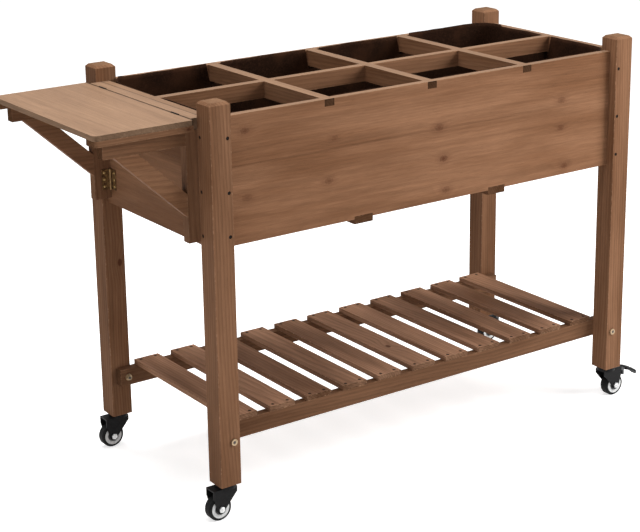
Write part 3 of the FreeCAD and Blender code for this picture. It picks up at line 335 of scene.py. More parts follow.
def wood(name, grain, tone, seed, box, seam=FAR, knots=0.0, placed=(), figure=0.16, end=0.3,
         aside=0.12, wear=0.3, joint=0.12, bleach=0.0, stain=FRAME_STAIN):
    """A board's material: grain names the axis along the fibres, then the face's width and its depth."""
    m = Material("wood_" + name)
    order = GRAIN_ORDER[grain]
    low, high = box
    # How far a face points up, for the painted sheen on upward faces.
    top_sheen_mask = m.ramp(m.split(m.normal)[2], 0.6, 0.9, 0.0, bleach)
    point = m.join(*reordered(m.split(m.point), order))
    normal = m.join(*reordered(m.split(m.normal), order))
    dice = random.Random(seed)
    use = m.add("ShaderNodeGroup", node_tree=WOOD)
    offset = (dice.uniform(1.0, 6.0), aside + dice.uniform(-0.03, 0.03), dice.uniform(-0.03, 0.03))
    centre = [(a + b) / 2 for a, b in zip(low, high)]
    shift = reordered(centre, order)
    dark, bend = 0.0, 0.0
    for place, radius, strength in placed:
        knot = m.add("ShaderNodeGroup", node_tree=KNOT)
        m.plug(knot.inputs["Point"], point)
        m.plug(knot.inputs["Place"], reordered(place, order))
        m.plug(knot.inputs["Radius"], radius)
        dark = m.math("MAXIMUM", m.math("MULTIPLY", knot.outputs["Dark"], strength), dark)
        bend = m.math("MAXIMUM", knot.outputs["Bend"], bend)
    for label, value in (("Point", point), ("Normal", normal),
                         ("Offset", tuple(o - s for o, s in zip(offset, shift))),
                         ("Low", reordered(low, order)), ("High", reordered(high, order)), ("Seam", seam),
                         ("Deep", (*stain[0], 1.0)), ("Pale", (*stain[1], 1.0)), ("Tone", tone),
                         ("Figure", figure), ("End", end), ("Wear_and_highlight", wear), ("Joint_and_gap_shade", joint),
                         ("Top_sheen", top_sheen_mask), ("Knots", knots), ("Dark", dark), ("Bend", bend)):
        m.plug(use.inputs[label], value)
    m.set(Base_Color=use.outputs["Color"], Roughness=use.outputs["Roughness"],
          Specular_IOR_Level=use.outputs["Gloss"], Normal=m.bump(use.outputs["Height"], 0.35, 0.0006))
    return m.material


# Other materials.

BOLT_HEAD_RADIUS = 0.0065
SOCKET_RADIUS = 0.0027
HEX_TURN = math.radians(30.0)
WEB_RADIUS = 0.0125
PEDAL_LENGTH = 0.025


def tinted(name, first, second, scale, rough, bump=(0.1, 0.0003), stretch=(1.0, 1.0, 1.0), **values):
    """Two close colours in a cloud, roughness that follows it, and a fine bump."""
    m = Material(name)
    point = m.vector("MULTIPLY", m.point, stretch)
    cloud = m.noise(point, 4.0, 0.6, scale=scale)
    fine = m.noise(point, 3.0, 0.7, scale=scale * 7)
    blend = m.math("ADD", m.math("MULTIPLY", cloud, 0.65), m.math("MULTIPLY", fine, 0.35))
    m.set(Base_Color=m.mix(m.ramp(blend, 0.36, 0.64), first, second),
          Roughness=m.ramp(blend, 0.3, 0.7, rough[0], rough[1]),
          Normal=m.bump(fine, bump[0], bump[1]), **values)
    return m


def liner_fabric():
    """Dark non-woven fabric: short random fibres pressed together, with faint point bonds."""
    m = Material("liner_fabric")
    one = m.noise(m.vector("MULTIPLY", m.point, (900.0, 260.0, 420.0)), 3.0, 0.7)
    two = m.noise(m.vector("MULTIPLY", m.point, (260.0, 900.0, 300.0)), 3.0, 0.7)
    fibre = m.math("MAXIMUM", one, two)
    cloud = m.noise(m.point, 3.0, 0.6, scale=13.0)
    bonds = m.add("ShaderNodeTexVoronoi", feature="F1")
    m.plug(bonds.inputs["Vector"], m.point)
    m.plug(bonds.inputs["Scale"], 330.0)
    pit = m.ramp(bonds.outputs["Distance"], 0.12, 0.3)
    color = m.mix(m.ramp(fibre, 0.45, 0.72), (0.010, 0.0036, 0.0015), (0.028, 0.0113, 0.0053))
    # Lighter brown patches in a cloud: random tone of the fabric, and a painted sheen.
    color = m.mix(m.ramp(cloud, 0.42, 0.68, 0.0, 0.75), color, (0.036, 0.0138, 0.0062))
    height = m.math("ADD", m.math("MULTIPLY", fibre, 0.7), m.math("MULTIPLY", pit, 0.5))
    m.set(Base_Color=color, Roughness=m.ramp(fibre, 0.4, 0.7, 0.97, 0.85), Specular_IOR_Level=0.06,
          Normal=m.bump(height, 0.5, 0.0007))
    return m.material


def brass():
    """Dark brown brass, browner in patches."""
    m = tinted("brass", (0.085, 0.045, 0.020), (0.24, 0.145, 0.060), 190.0, (0.34, 0.6), Metallic=0.8)
    return m.material


def bright_brass():
    m = tinted("bright_brass", (0.20, 0.125, 0.05), (0.50, 0.34, 0.14), 400.0, (0.26, 0.5), Metallic=0.9)
    return m.material


def dark_steel():
    # Near black and not metallic; on the screws this stands partly for painted shade in the holes that they
    # sit in.
    m = tinted("dark_steel", (0.005, 0.0035, 0.0025), (0.014, 0.010, 0.008), 300.0, (0.55, 0.75),
               Specular_IOR_Level=0.08)
    return m.material


def zinc_steel():
    """Yellowed zinc, with a six-sided socket in each bolt's head, painted dark as its shade."""
    m = tinted("zinc_steel", (0.24, 0.165, 0.095), (0.42, 0.315, 0.20), 260.0, (0.32, 0.55), Metallic=0.8)
    low, high = (Vector(corner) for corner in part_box("shelf_bolts"))
    x, _, z = m.split(m.point)
    reach = (high.x - low.x) / 2 - BOLT_HEAD_RADIUS
    from_middle = m.math("ABSOLUTE", m.math("SUBTRACT", x, (low.x + high.x) / 2))
    aside = m.math("ABSOLUTE", m.math("SUBTRACT", from_middle, reach))
    level = m.math("ABSOLUTE", m.math("SUBTRACT", z, (low.z + high.z) / 2))
    flat = m.math("ADD", m.math("MULTIPLY", aside, math.cos(HEX_TURN)),
                  m.math("MULTIPLY", level, math.sin(HEX_TURN)))
    # The socket is not cut into the head: its dark colour is painted shade.
    socket = m.ramp(m.math("MAXIMUM", flat, level), SOCKET_RADIUS, SOCKET_RADIUS + 0.0004, 1.0, 0.0)
    plain = m.shader.inputs["Base Color"].links[0].from_socket
    m.set(Base_Color=m.mix(socket, plain, (0.02, 0.011, 0.006)),
          Metallic=m.ramp(socket, 0.0, 1.0, 0.8, 0.0))
    return m.material


def caster_metal():
    """Black enamel on pressed steel."""
    m = tinted("caster_metal", (0.0035, 0.0032, 0.0034), (0.009, 0.0085, 0.0088), 210.0, (0.34, 0.55),
               bump=(0.12, 0.0002), Specular_IOR_Level=0.1)
    return m.material


def bright_plating():
    m = tinted("bright_plating", (0.50, 0.50, 0.50), (0.70, 0.70, 0.69), 420.0, (0.25, 0.45), Metallic=0.85)
    return m.material


def pedal_plastic():
    m = tinted("pedal_plastic", (0.004, 0.004, 0.004), (0.011, 0.011, 0.011), 320.0, (0.4, 0.6),
               bump=(0.15, 0.0002), Specular_IOR_Level=0.12)
    return m.material


def tyre_rubber():
    m = tinted("tyre_rubber", (0.0035, 0.0035, 0.0036), (0.009, 0.0088, 0.0088), 170.0, (0.5, 0.72),
               bump=(0.2, 0.0003), Specular_IOR_Level=0.1)
    _, y, _ = m.split(m.point)
    ribs = m.ramp(m.math("PINGPONG", m.math("MULTIPLY", y, 1000.0), 1.3), 0.25, 0.8)
    m.set(Normal=m.bump(ribs, 0.3, 0.0004))
    return m.material


def hub_plastic(name):
    """A light grey ring about a dark web, by the distance from the axle."""
    m = tinted("hub_" + name, (0.60, 0.60, 0.60), (0.74, 0.74, 0.73), 240.0, (0.3, 0.46))
    centre = middle("hub_" + name)
    x, _, z = m.split(m.vector("SUBTRACT", m.point, tuple(centre)))
    radius = m.vector("LENGTH", m.join(x, z, 0.0))
    ring = m.ramp(radius, WEB_RADIUS - 0.0012, WEB_RADIUS - 0.0006)
    grey = m.shader.inputs["Base Color"].links[0].from_socket
    dark = m.mix(m.noise(m.point, 2.0, scale=300.0), (0.03, 0.03, 0.03), (0.055, 0.054, 0.053))
    m.set(Base_Color=m.mix(ring, dark, grey))
    return m.material


def lever_metal(name):
    """A grey pressed strap, with a black pedal from a set distance out."""
    m = tinted("lever_" + name, (0.045, 0.045, 0.045), (0.10, 0.10, 0.10), 260.0, (0.3, 0.48))
    x, _, _ = m.split(m.point)
    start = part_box("brake_lever_" + name)[1][0] - PEDAL_LENGTH
    pedal = m.ramp(x, start - 0.0004, start + 0.0004)
    grey = m.shader.inputs["Base Color"].links[0].from_socket
    black = m.mix(m.noise(m.point, 2.0, scale=300.0), (0.006, 0.006, 0.006), (0.014, 0.014, 0.014))
    m.set(Base_Color=m.mix(pedal, grey, black), Metallic=m.math("SUBTRACT", 1.0, pedal))
    return m.material


# The wooden nodes: which way the grain runs, how light the stain is, and soft edges.

SHARP = 40.0


def dress(name, material):
    """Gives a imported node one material."""
    mesh = bpy.data.objects[name].data
    mesh.materials.clear()
    mesh.materials.append(material)


def bevel(piece, width, angle=None):
    """Rounds a piece's edges in a modifier, those sharper than an angle in degrees where one is given."""
    edge = piece.modifiers.new("soft edges", "BEVEL")
    edge.width = width
    edge.segments = 2
    if angle is not None:
        edge.limit_method = "ANGLE"
        edge.angle_limit = math.radians(angle)
    return edge


def soften(name, width):
    """Joins flat faces and rounds a node's edges in modifiers, so that its own mesh stays as packed."""
    piece = bpy.data.objects[name]
    flat = piece.modifiers.new("flat faces", "DECIMATE")
    flat.decimate_type = "DISSOLVE"
    flat.angle_limit = math.radians(1.0)
    bevel(piece, width, SHARP).harden_normals = True


def board(name, grain, tone, seed, width=0.0014, **more):
    box = [tuple(corner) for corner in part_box(name)]
    dress(name, wood(name, grain, tone, seed, box, **more))
    soften(name, width)


PANEL_LOW, PANEL_HIGH = (Vector(corner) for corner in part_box("panel_front"))
FRAME_X = (PANEL_LOW.x + PANEL_HIGH.x) / 2
# The front panel's knots: mm from the frame's middle and the panel's foot, radius in mm, and how dark.
PANEL_KNOTS = [(-434, 213, 6, 0.8), (-235, 169, 5, 0.5), (18, 151, 7, 0.8), (29, 86, 6, 1.0),
               (-249, 87, 6, 0.75), (-433, 87, 7, 0.6), (36, 21, 6, 0.75), (342, 160, 7, 0.7),
               (341, 102, 6, 0.75), (354, 18, 6, 0.8)]
PANEL_SEAM = PANEL_LOW.z + 0.148
# The plugged hole at the inner end of each cleat under the leaf.
PLUG_INSET = 0.010
PLUG_RADIUS = 0.0025


def wooden_nodes():
    for index, name in enumerate(corner_names("post")):
        # The posts' edges are lightened more, as a painted highlight along their rounded edges as well as
        # wear.
        board(name, "z", 0.88, 11 + index, 0.0022, knots=0.05, figure=0.2, end=0.1, aside=0.2, wear=0.45,
              bleach=0.5)
    placed = [((FRAME_X + x * MM, 0.0, PANEL_LOW.z + z * MM), r * MM, dark)
              for x, z, r, dark in PANEL_KNOTS]
    board("panel_front", "x_upright", 1.0, 21, seam=PANEL_SEAM, placed=placed, figure=0.07, bleach=0.75)
    board("panel_rear", "x_upright", 1.0, 22, seam=PANEL_SEAM, knots=0.3, figure=0.07, bleach=0.75)
    for index, end in enumerate(ENDS):
        board("panel_" + end, "y_upright", 0.92, 23 + index, seam=PANEL_SEAM, knots=0.2, figure=0.08,
              bleach=0.75)
    board("long_divider", "x_upright", 1.0, 31, 0.001, knots=0.1, end=0.45, bleach=0.75)
    for index, place in enumerate(("left", "middle", "right")):
        board("cross_divider_" + place, "y_upright", 0.95, 32 + index, 0.001, knots=0.1, end=0.72, wear=0.1,
              bleach=0.75)
    board("base_bearers", "y", 0.62, 36)
    board("base_boards", "y", 0.9, 37)
    for index, side in enumerate(SIDES):
        # The rails' darker tone stands partly for painted shade under the slats.
        board("shelf_rail_" + side, "x_upright", 0.66, 41 + index, knots=0.08)
        board("bracket_arm_" + side, "x_upright", 0.72, 91 + index)
        board("bracket_upright_" + side, "z", 0.76, 93 + index)
        board("bracket_brace_" + side, "x_upright", 0.9, 95 + index)
    slats = [name for name in NODES if name.startswith("shelf_slat_")]
    for index, name in enumerate(slats):
        tone = random.Random(500 + index).uniform(0.78, 1.0)
        board(name, "y", tone, 51 + index, 0.0018, knots=0.14, figure=0.2, end=0.45, wear=0.75,
              stain=SHELF_STAIN)
    # The ledge's and leaf's inner edges are darkened as painted shade of the gap between them.
    for index, name in enumerate(("table_ledge", "table_leaf")):
        inner_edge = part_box(name)[1][0]
        board(name, "y", 1.0, 71 + index, 0.0018, seam=inner_edge, joint=0.8, knots=0.04, figure=0.06,
              end=0.26, stain=TABLE_STAIN)
    low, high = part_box("leaf_cleats")
    hole = (high[0] - PLUG_INSET, 0.0, (low[2] + high[2]) / 2)
    board("leaf_cleats", "x_upright", 0.74, 73, 0.0015, placed=[(hole, PLUG_RADIUS, 1.0)])


# Metal, rubber and plastic nodes.

def fitted_nodes():
    brass_finish = brass()
    dark = dark_steel()
    zinc = zinc_steel()
    rubber = tyre_rubber()
    enamel = caster_metal()
    for name in NODES:
        if name.startswith("bracket_hinge"):
            dress(name, brass_finish)
        elif name.startswith("leaf_hinge") or name.endswith("screws"):
            dress(name, dark)
        elif name == "shelf_bolts":
            dress(name, zinc)
        elif name.startswith("fork") or name == "caster_tops":
            dress(name, enamel)
            soften(name, 0.0007)
        elif name.startswith("tyre"):
            dress(name, rubber)
            soften(name, 0.0009)
        elif name.startswith("hub"):
            dress(name, hub_plastic(name[len("hub_"):]))
            soften(name, 0.0004)
        elif name.startswith("brake_lever"):
            dress(name, lever_metal(name[len("brake_lever_"):]))
            soften(name, 0.0008)


# Screws of the bracket hinges, on the plates that the pack gives.

HINGE_PLATE = 0.0015
HINGE_SCREW_RADIUS = 0.0027
HINGE_SCREW_INSET = 0.006
HINGE_SCREW_LEVELS = (0.17, 0.5, 0.83)
# Rings of a screw head from its recess out to its rim: radius and rise, as shares of the head's radius.
SCREW_PROFILE = ((0.22, 0.125), (0.34, 0.125), (0.4, 0.31), (0.7, 0.25), (0.92, 0.13), (1.0, 0.0))
SCREW_STEPS = 20


def solids(name):
    """The boxes of a node's separate solids."""
    mesh = bmesh.new()
    mesh.from_mesh(bpy.data.objects[name].data)
    bmesh.ops.remove_doubles(mesh, verts=mesh.verts, dist=0.000001)
    left = set(mesh.verts)
    boxes = []
    while left:
        grown = [left.pop()]
        places = []
        while grown:
            vert = grown.pop()
            places.append(vert.co.copy())
            for edge in vert.link_edges:
                other = edge.other_vert(vert)
                if other in left:
                    left.remove(other)
                    grown.append(other)
        boxes.append([Vector([pick(p[i] for p in places) for i in range(3)]) for pick in (min, max)])
    mesh.free()
    return sorted(boxes, key=lambda box: tuple(box[0]))


def add_piece(name, mesh, finish, body):
    """Makes an object of a mesh under work, on a body, with its finish."""
    data = bpy.data.meshes.new(name)
    mesh.to_mesh(data)
    mesh.free()
    data.materials.append(finish)
    piece = bpy.data.objects.new(name, data)
    bpy.context.collection.objects.link(piece)
    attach(piece, body)
    return piece


def screw_head(mesh, place, out, radius):
    """A low domed head with a round recess, turned about its own axis."""
    turn = Vector(out).to_track_quat("Z", "Y")
    rings = []
    for share, rise in SCREW_PROFILE:
        ring = []
        for step in range(SCREW_STEPS):
            angle = math.tau * step / SCREW_STEPS
            spot = Vector((math.cos(angle) * share, math.sin(angle) * share, rise)) * radius
            ring.append(mesh.verts.new(Vector(place) + turn @ spot))
        rings.append(ring)
    mesh.faces.new(rings[0])
    for inner, outer in zip(rings, rings[1:]):
        for i in range(SCREW_STEPS):
            j = (i + 1) % SCREW_STEPS
            mesh.faces.new((inner[i], outer[i], outer[j], inner[j])).smooth = True


def plate_spots(name):
    """Where the screws sit on a hinge's plates, and which way they face."""
    spots = []
    for low, high in solids(name):
        size = high - low
        levels = [low.z + size.z * share for share in HINGE_SCREW_LEVELS]
        side = 1 if low.y + high.y > 0 else -1
        if name == "bracket_hinge_fixed" and size.y > 2 * HINGE_SCREW_INSET:
            free_edge = low.y if side > 0 else high.y
            y = free_edge + side * HINGE_SCREW_INSET
            spots += [((high.x - HINGE_PLATE, y, z), (-1, 0, 0)) for z in levels]
        elif name != "bracket_hinge_fixed" and size.x > 2 * HINGE_SCREW_INSET:
            face = (high.y if side > 0 else low.y) - side * HINGE_PLATE
            spots += [((low.x + HINGE_SCREW_INSET, face, z), (0, -side, 0)) for z in levels]
    return spots


def hinge_screws(finish):
    bodies = {"bracket_hinge_fixed": "frame"}
    for side in SIDES:
        bodies["bracket_hinge_moving_" + side] = "bracket_" + side
    for name, body in bodies.items():
        mesh = bmesh.new()
        for place, out in plate_spots(name):
            screw_head(mesh, place, out, HINGE_SCREW_RADIUS)
        add_piece(name + "_screws", mesh, finish, body)


# Axle nuts on the casters, and the moulded pedals on the brake levers.

FORK_HALF = 0.0142
NUT_RADIUS = 0.0066
NUT_HEIGHT = 0.0036
NUT_SIDES = 6
NUT_TURN = 0.2
# Rings of a nut and its axle's end: shares of the nut's radius and height.
NUT_PROFILE = ((1.0, 0.0), (1.0, 0.78), (0.9, 1.0), (0.52, 1.0), (0.5, 1.3), (0.36, 1.45))
NUT_EDGE = 0.0004


def nut(mesh, place, out):
    """A six-sided nut with chamfered corners and the rounded end of its axle."""
    turn = Vector((0, out, 0)).to_track_quat("Z", "X")
    rings = []
    for share, rise in NUT_PROFILE:
        ring = []
        reach = share * NUT_RADIUS
        for step in range(NUT_SIDES):
            angle = math.tau * (step + NUT_TURN) / NUT_SIDES
            spot = Vector((math.cos(angle) * reach, math.sin(angle) * reach, rise * NUT_HEIGHT))
            ring.append(mesh.verts.new(place + turn @ spot))
        rings.append(ring)
    for lower, upper in zip(rings, rings[1:]):
        for i in range(NUT_SIDES):
            j = (i + 1) % NUT_SIDES
            mesh.faces.new((lower[i], lower[j], upper[j], upper[i]))
    mesh.faces.new(rings[-1])


def axle_nuts(finish):
    for tail in corner_names(""):
        hub = middle("hub" + tail)
        mesh = bmesh.new()
        for out in (-1, 1):
            nut(mesh, hub + Vector((0, out * FORK_HALF, 0)), out)
        piece = add_piece("axle_nuts" + tail, mesh, finish, "caster" + tail)
        bevel(piece, NUT_EDGE)


LEVER_BARREL = 0.004
PEDAL_TOP = 0.0012
PEDAL_DEPTH = 0.0052
PEDAL_FALL = 0.011
PEDAL_CURVE = 1.25
PEDAL_LIP = 0.0045
LIP_START = 0.78
PEDAL_OVERLAP = 0.003
PEDAL_PAST = 0.004
PEDAL_SIDE = 0.0012
PEDAL_CORNER = 0.0045
PEDAL_CROWN = 0.0012
PEDAL_HOLLOW = 0.0016
PEDAL_EDGE = 0.0008
RIB_HEIGHT = 0.0007
RIB_COUNT = 6
RIBBED = (0.12, 0.86)
PEDAL_STEPS = 40
PEDAL_ACROSS = 12


def pedal_section(mesh, low, high, t):
    """The upper and lower points of a pedal across its width, at a share t of its length."""
    start = high.x - PEDAL_LENGTH - PEDAL_OVERLAP
    end = high.x + PEDAL_PAST
    x = start + (end - start) * t
    past = max(0.0, x - (end - PEDAL_CORNER)) / PEDAL_CORNER
    half = (high.y - low.y) / 2 + PEDAL_SIDE
    narrow = half - PEDAL_CORNER * (1 - math.sqrt(max(0.0, 1 - past * past)))
    along = max(0.0, (x - high.x + PEDAL_LENGTH) / PEDAL_LENGTH)
    slope = high.z - LEVER_BARREL - PEDAL_FALL * along ** PEDAL_CURVE
    rib = 0.0
    if RIBBED[0] < t < RIBBED[1]:
        rib = RIB_HEIGHT * max(0.0, math.sin(math.tau * t * RIB_COUNT))
    lip = PEDAL_LIP * max(0.0, (t - LIP_START) / (1 - LIP_START)) ** 2
    upper, lower = [], []
    for j in range(PEDAL_ACROSS + 1):
        share = 2 * j / PEDAL_ACROSS - 1
        y = (low.y + high.y) / 2 + share * narrow
        top = slope + PEDAL_TOP - PEDAL_CROWN * share ** 4 + rib * (1 - share ** 6)
        foot = slope - PEDAL_DEPTH - lip + PEDAL_HOLLOW * share ** 4
        upper.append(mesh.verts.new((x, y, top)))
        lower.append(mesh.verts.new((x, y, foot)))
    return upper, lower


def pedal(side, finish):
    """A ribbed pedal with a turned-down lip, over the lever's flat end."""
    low, high = (Vector(corner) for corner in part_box("brake_lever_%s_right" % side))
    mesh = bmesh.new()
    sections = [pedal_section(mesh, low, high, i / PEDAL_STEPS) for i in range(PEDAL_STEPS + 1)]
    for (upper, lower), (next_upper, next_lower) in zip(sections, sections[1:]):
        for j in range(PEDAL_ACROSS):
            mesh.faces.new((upper[j], next_upper[j], next_upper[j + 1], upper[j + 1]))
            mesh.faces.new((lower[j], lower[j + 1], next_lower[j + 1], next_lower[j]))
        mesh.faces.new((upper[0], lower[0], next_lower[0], next_upper[0]))
        mesh.faces.new((upper[-1], next_upper[-1], next_lower[-1], lower[-1]))
    first_upper, first_lower = sections[0]
    last_upper, last_lower = sections[-1]
    for j in range(PEDAL_ACROSS):
        mesh.faces.new((first_upper[j], first_upper[j + 1], first_lower[j + 1], first_lower[j]))
        mesh.faces.new((last_upper[j], last_lower[j], last_lower[j + 1], last_upper[j + 1]))
    for face in mesh.faces:
        face.smooth = True
    piece = add_piece("brake_pedal_%s_right" % side, mesh, finish, "brake_%s_right" % side)
    bevel(piece, PEDAL_EDGE, SHARP)


# The liner: one sheet folded into a tub, with slits for the dividers and a wavy edge.

LINER_LOW, LINER_HIGH = (Vector(corner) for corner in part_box("liner"))
LINER_STEP = 0.007
LINER_CORNER = 0.045
LINER_THICK = 0.0009
LINER_GAP = 0.0012
LINER_ARC = 8
LINER_FOOT = LINER_LOW.z + LINER_THICK
RIM = PANEL_HIGH.z
WALL_ROWS = 26
FLOOR_ROWS = 30
SLIT_SLACK = 0.0022
SLIT_DEPTH = 0.003
SLIT_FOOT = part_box("long_divider")[0][2] - SLIT_DEPTH
EDGE_RISE = 0.0006
# Waves of the edge and creases of the floor: how many to a metre, roughly, and how high.
EDGE_WAVES = ((9.0, 0.0014), (31.0, 0.0008))
FLOOR_CREASES = ((11.0, 0.003), (27.0, 0.0015))
FOLD_DEPTH = 0.004
FOOT_BULGE = 0.010
FOOT_HEIGHT = 0.022
SPINE_SHARE = 0.5
# How far the edge stands over the rear rim: a bump beside the left post, the last compartment, the rest.
REAR_BAND = 0.05
BUMP_START = LINER_LOW.x + 0.012
BUMP_LENGTH = 0.024
BUMP_RISE = 0.006
LAST_RISE = 0.0046
REAR_RISE = 0.0022


def liner_outline():
    """Points round the tub with rounded corners, each with its inward direction."""
    centre = (LINER_LOW + LINER_HIGH) / 2
    reach = (LINER_HIGH - LINER_LOW) / 2 - Vector((1, 1, 0)) * (LINER_GAP + LINER_CORNER)
    signs = ((1, 1), (-1, 1), (-1, -1), (1, -1))
    hubs = [Vector((centre.x + sx * reach.x, centre.y + sy * reach.y, 0)) for sx, sy in signs]
    points = []
    for index, hub in enumerate(hubs):
        for step in range(LINER_ARC + 1):
            angle = math.radians(90 * (index + step / LINER_ARC))
            out = Vector((math.cos(angle), math.sin(angle), 0))
            points.append((hub + out * LINER_CORNER, -out))
        here = points[-1][0]
        run = hubs[(index + 1) % len(hubs)] + out * LINER_CORNER - here
        steps = int(run.length / LINER_STEP)
        for step in range(1, steps):
            points.append((here + run * step / steps, -out))
    return points


def divider_slit(point):
    """True where a divider crosses the liner's wall at a point."""
    for place in ("left", "middle", "right"):
        low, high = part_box("cross_divider_" + place)
        if low[0] - SLIT_SLACK < point.x < high[0] + SLIT_SLACK:
            return True
    low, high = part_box("long_divider")
    return low[1] - SLIT_SLACK < point.y < high[1] + SLIT_SLACK


def liner_rise(point):
    """The liner stands up a little over the rear rim, most at its two ends."""
    if point.y < LINER_HIGH.y - REAR_BAND:
        return 0.0
    if BUMP_START < point.x < BUMP_START + BUMP_LENGTH:
        return BUMP_RISE * math.sin(math.pi * (point.x - BUMP_START) / BUMP_LENGTH)
    return LAST_RISE if point.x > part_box("cross_divider_right")[1][0] else REAR_RISE


def liner_top(point):
    """The height of the liner's edge at a point of its outline."""
    if divider_slit(point):
        return SLIT_FOOT
    wave = sum(noise.noise(point * scale) * height for scale, height in EDGE_WAVES)
    return RIM + EDGE_RISE + wave + liner_rise(point)


def liner_wall(mesh, outline):
    """Rings of points from the liner's foot up to its edge, with folds and a rounded foot."""
    rings = []
    for row in range(WALL_ROWS + 1):
        ring = []
        for point, inward in outline:
            z = LINER_FOOT + (liner_top(point) - LINER_FOOT) * row / WALL_ROWS
            spot = Vector((point.x * 6.0, point.y * 6.0, z * 5.0))
            fold = FOLD_DEPTH * max(0.0, noise.noise(spot) + 0.5 * noise.noise(spot * 2.7))
            bulge = FOOT_BULGE * max(0.0, 1.0 - (z - LINER_FOOT) / FOOT_HEIGHT) ** 2
            ring.append(mesh.verts.new(point + inward * (fold + bulge) + Vector((0, 0, z))))
        rings.append(ring)
    return rings


def liner_floor(mesh, foot_ring):
    """Rings of points from beside the middle line of the liner's floor out to its foot, with creases."""
    centre = (LINER_LOW + LINER_HIGH) / 2
    rings = []
    for row in range(1, FLOOR_ROWS):
        t = row / FLOOR_ROWS
        ring = []
        for start in foot_ring:
            flat = Vector((start.co.x, start.co.y, 0))
            spine = Vector((centre.x + (flat.x - centre.x) * SPINE_SHARE, centre.y, 0))
            spot = flat.lerp(spine, t)
            lift = sum(max(0.0, noise.noise(spot * scale)) * height for scale, height in FLOOR_CREASES)
            ring.append(mesh.verts.new((spot.x, spot.y, LINER_FOOT + lift * min(1.0, 8 * t))))
        rings.insert(0, ring)
    return rings


def liner():
    outline = liner_outline()
    mesh = bmesh.new()
    wall = liner_wall(mesh, outline)
    rings = liner_floor(mesh, wall[0]) + wall
    count = len(outline)
    for below, above in zip(rings, rings[1:]):
        for i in range(count):
            j = (i + 1) % count
            mesh.faces.new((below[i], below[j], above[j], above[i]))
    middle_edges = [mesh.edges.get((rings[0][i - 1], rings[0][i])) for i in range(count)]
    bmesh.ops.holes_fill(mesh, edges=middle_edges)
    for face in mesh.faces:
        face.smooth = True
    data = bpy.data.meshes.new("liner_sheet")
    mesh.to_mesh(data)
    mesh.free()
    piece = bpy.data.objects.new("liner_sheet", data)
    bpy.context.collection.objects.link(piece)
    data.materials.append(liner_fabric())
    thick = piece.modifiers.new("thickness", "SOLIDIFY")
    thick.thickness = LINER_THICK
    thick.offset = 0.0
    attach(piece, "frame")
    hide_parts("liner")


# Floor, light and camera.

PHOTO_WIDTH = 640.0
PHOTO_HEIGHT = 532.0
CAMERA_PLACE = Vector((-2.0483 + FRAME_X, -2.7720, 1.4891))
CAMERA_AZIMUTH = math.radians(-34.806)
CAMERA_ELEVATION = math.radians(-16.355)
CAMERA_ROLL = math.radians(-0.856)
CAMERA_FOCAL = 1713.9
CAMERA_CENTRE = (320.0, 208.0)
FLOOR_HALF = 40.0
FLOOR_NEAR, FLOOR_FAR = 1.0, 4.0
GLOW_NEAR, GLOW_FAR = 0.66, 0.8
WORLD_LEVEL = 0.25


def seen_directly(t):
    """1 for rays from the camera, straight or by a mirror or glass, and 0 for the light on other things."""
    rays = t.add("ShaderNodeLightPath").outputs
    seen = t.math("MAXIMUM", rays["Is Camera Ray"], rays["Is Glossy Ray"])
    return t.math("MAXIMUM", seen, rays["Is Transmission Ray"])


def floor():
    """A pale floor that is lit up where the camera sees it, so that it goes over into the white behind."""
    mesh = bpy.data.meshes.new("floor")
    half = FLOOR_HALF
    mesh.from_pydata([(-half, -half, 0), (half, -half, 0), (half, half, 0), (-half, half, 0)],
                     [], [(0, 1, 2, 3)])
    piece = bpy.data.objects.new("floor", mesh)
    bpy.context.collection.objects.link(piece)
    m = Material("floor_white")
    cloud = m.noise(m.point, 3.0, scale=3.0)
    glow = m.ramp(m.vector("LENGTH", m.point), FLOOR_NEAR, FLOOR_FAR, GLOW_NEAR, GLOW_FAR)
    m.set(Base_Color=m.mix(cloud, (0.86, 0.86, 0.86), (0.88, 0.88, 0.88)), Roughness=0.9,
          Specular_IOR_Level=0.1, Emission_Color=(1.0, 1.0, 1.0, 1.0),
          Emission_Strength=m.math("MULTIPLY", seen_directly(m), glow))
    mesh.materials.append(m.material)


def world():
    """An even soft light, white where the camera sees it."""
    made = bpy.data.worlds.new("studio")
    made.use_nodes = True
    t = Tree(made.node_tree)
    back = made.node_tree.nodes["Background"]
    t.plug(back.inputs["Color"], (1.0, 1.0, 1.0, 1.0))
    t.plug(back.inputs["Strength"], t.ramp(seen_directly(t), 0.0, 1.0, WORLD_LEVEL, 1.0))
    bpy.context.scene.world = made


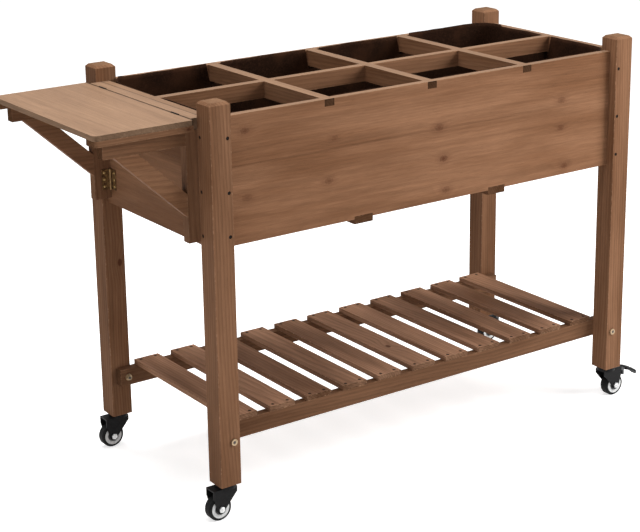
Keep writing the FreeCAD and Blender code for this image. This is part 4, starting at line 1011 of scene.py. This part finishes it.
def lamp(name, place, aim, size, power):
    data = bpy.data.lights.new(name, "AREA")
    data.shape = "RECTANGLE"
    data.size, data.size_y = size
    data.energy = power
    piece = bpy.data.objects.new(name, data)
    piece.location = place
    piece.rotation_euler = (Vector(aim) - Vector(place)).to_track_quat("-Z", "Y").to_euler()
    bpy.context.collection.objects.link(piece)


def camera():
    """The photograph's viewpoint, from a fit to the object's corners, in pixels of the photograph."""
    right = Vector((math.cos(CAMERA_AZIMUTH), math.sin(CAMERA_AZIMUTH), 0))
    level = Vector((-math.sin(CAMERA_AZIMUTH), math.cos(CAMERA_AZIMUTH), 0))
    ahead = level * math.cos(CAMERA_ELEVATION) + Vector((0, 0, math.sin(CAMERA_ELEVATION)))
    up = right.cross(ahead)
    side = right * math.cos(CAMERA_ROLL) + up * math.sin(CAMERA_ROLL)
    top = up * math.cos(CAMERA_ROLL) - right * math.sin(CAMERA_ROLL)
    turn = Matrix((side, top, -ahead)).transposed().to_4x4()
    data = bpy.data.cameras.new("photo_view")
    data.sensor_width = 36.0
    data.lens = CAMERA_FOCAL / PHOTO_WIDTH * data.sensor_width
    data.shift_x = (PHOTO_WIDTH / 2 - CAMERA_CENTRE[0]) / PHOTO_WIDTH
    data.shift_y = (CAMERA_CENTRE[1] - PHOTO_HEIGHT / 2) / PHOTO_WIDTH
    data.clip_end = 100.0
    piece = bpy.data.objects.new("photo_view", data)
    piece.matrix_world = Matrix.Translation(CAMERA_PLACE) @ turn
    bpy.context.collection.objects.link(piece)
    bpy.context.scene.camera = piece


wooden_nodes()
fitted_nodes()
hinge_screws(bright_brass())
axle_nuts(bright_plating())
for side in SIDES:
    pedal(side, pedal_plastic())
liner()
floor()
world()
lamp("key", place=(1.65, -1.55, 1.55), aim=(0.3, 0.0, 0.5), size=(1.3, 1.3), power=56.0)
lamp("fill", place=(-2.2, -0.9, 0.7), aim=(-0.4, -0.2, 0.55), size=(1.2, 1.2), power=6.5)
lamp("top", place=(-0.4, 0.2, 3.0), aim=(-0.1, 0.0, 0.6), size=(2.4, 1.6), power=105.0)
camera()
bpy.context.scene.view_settings.view_transform = "Standard"
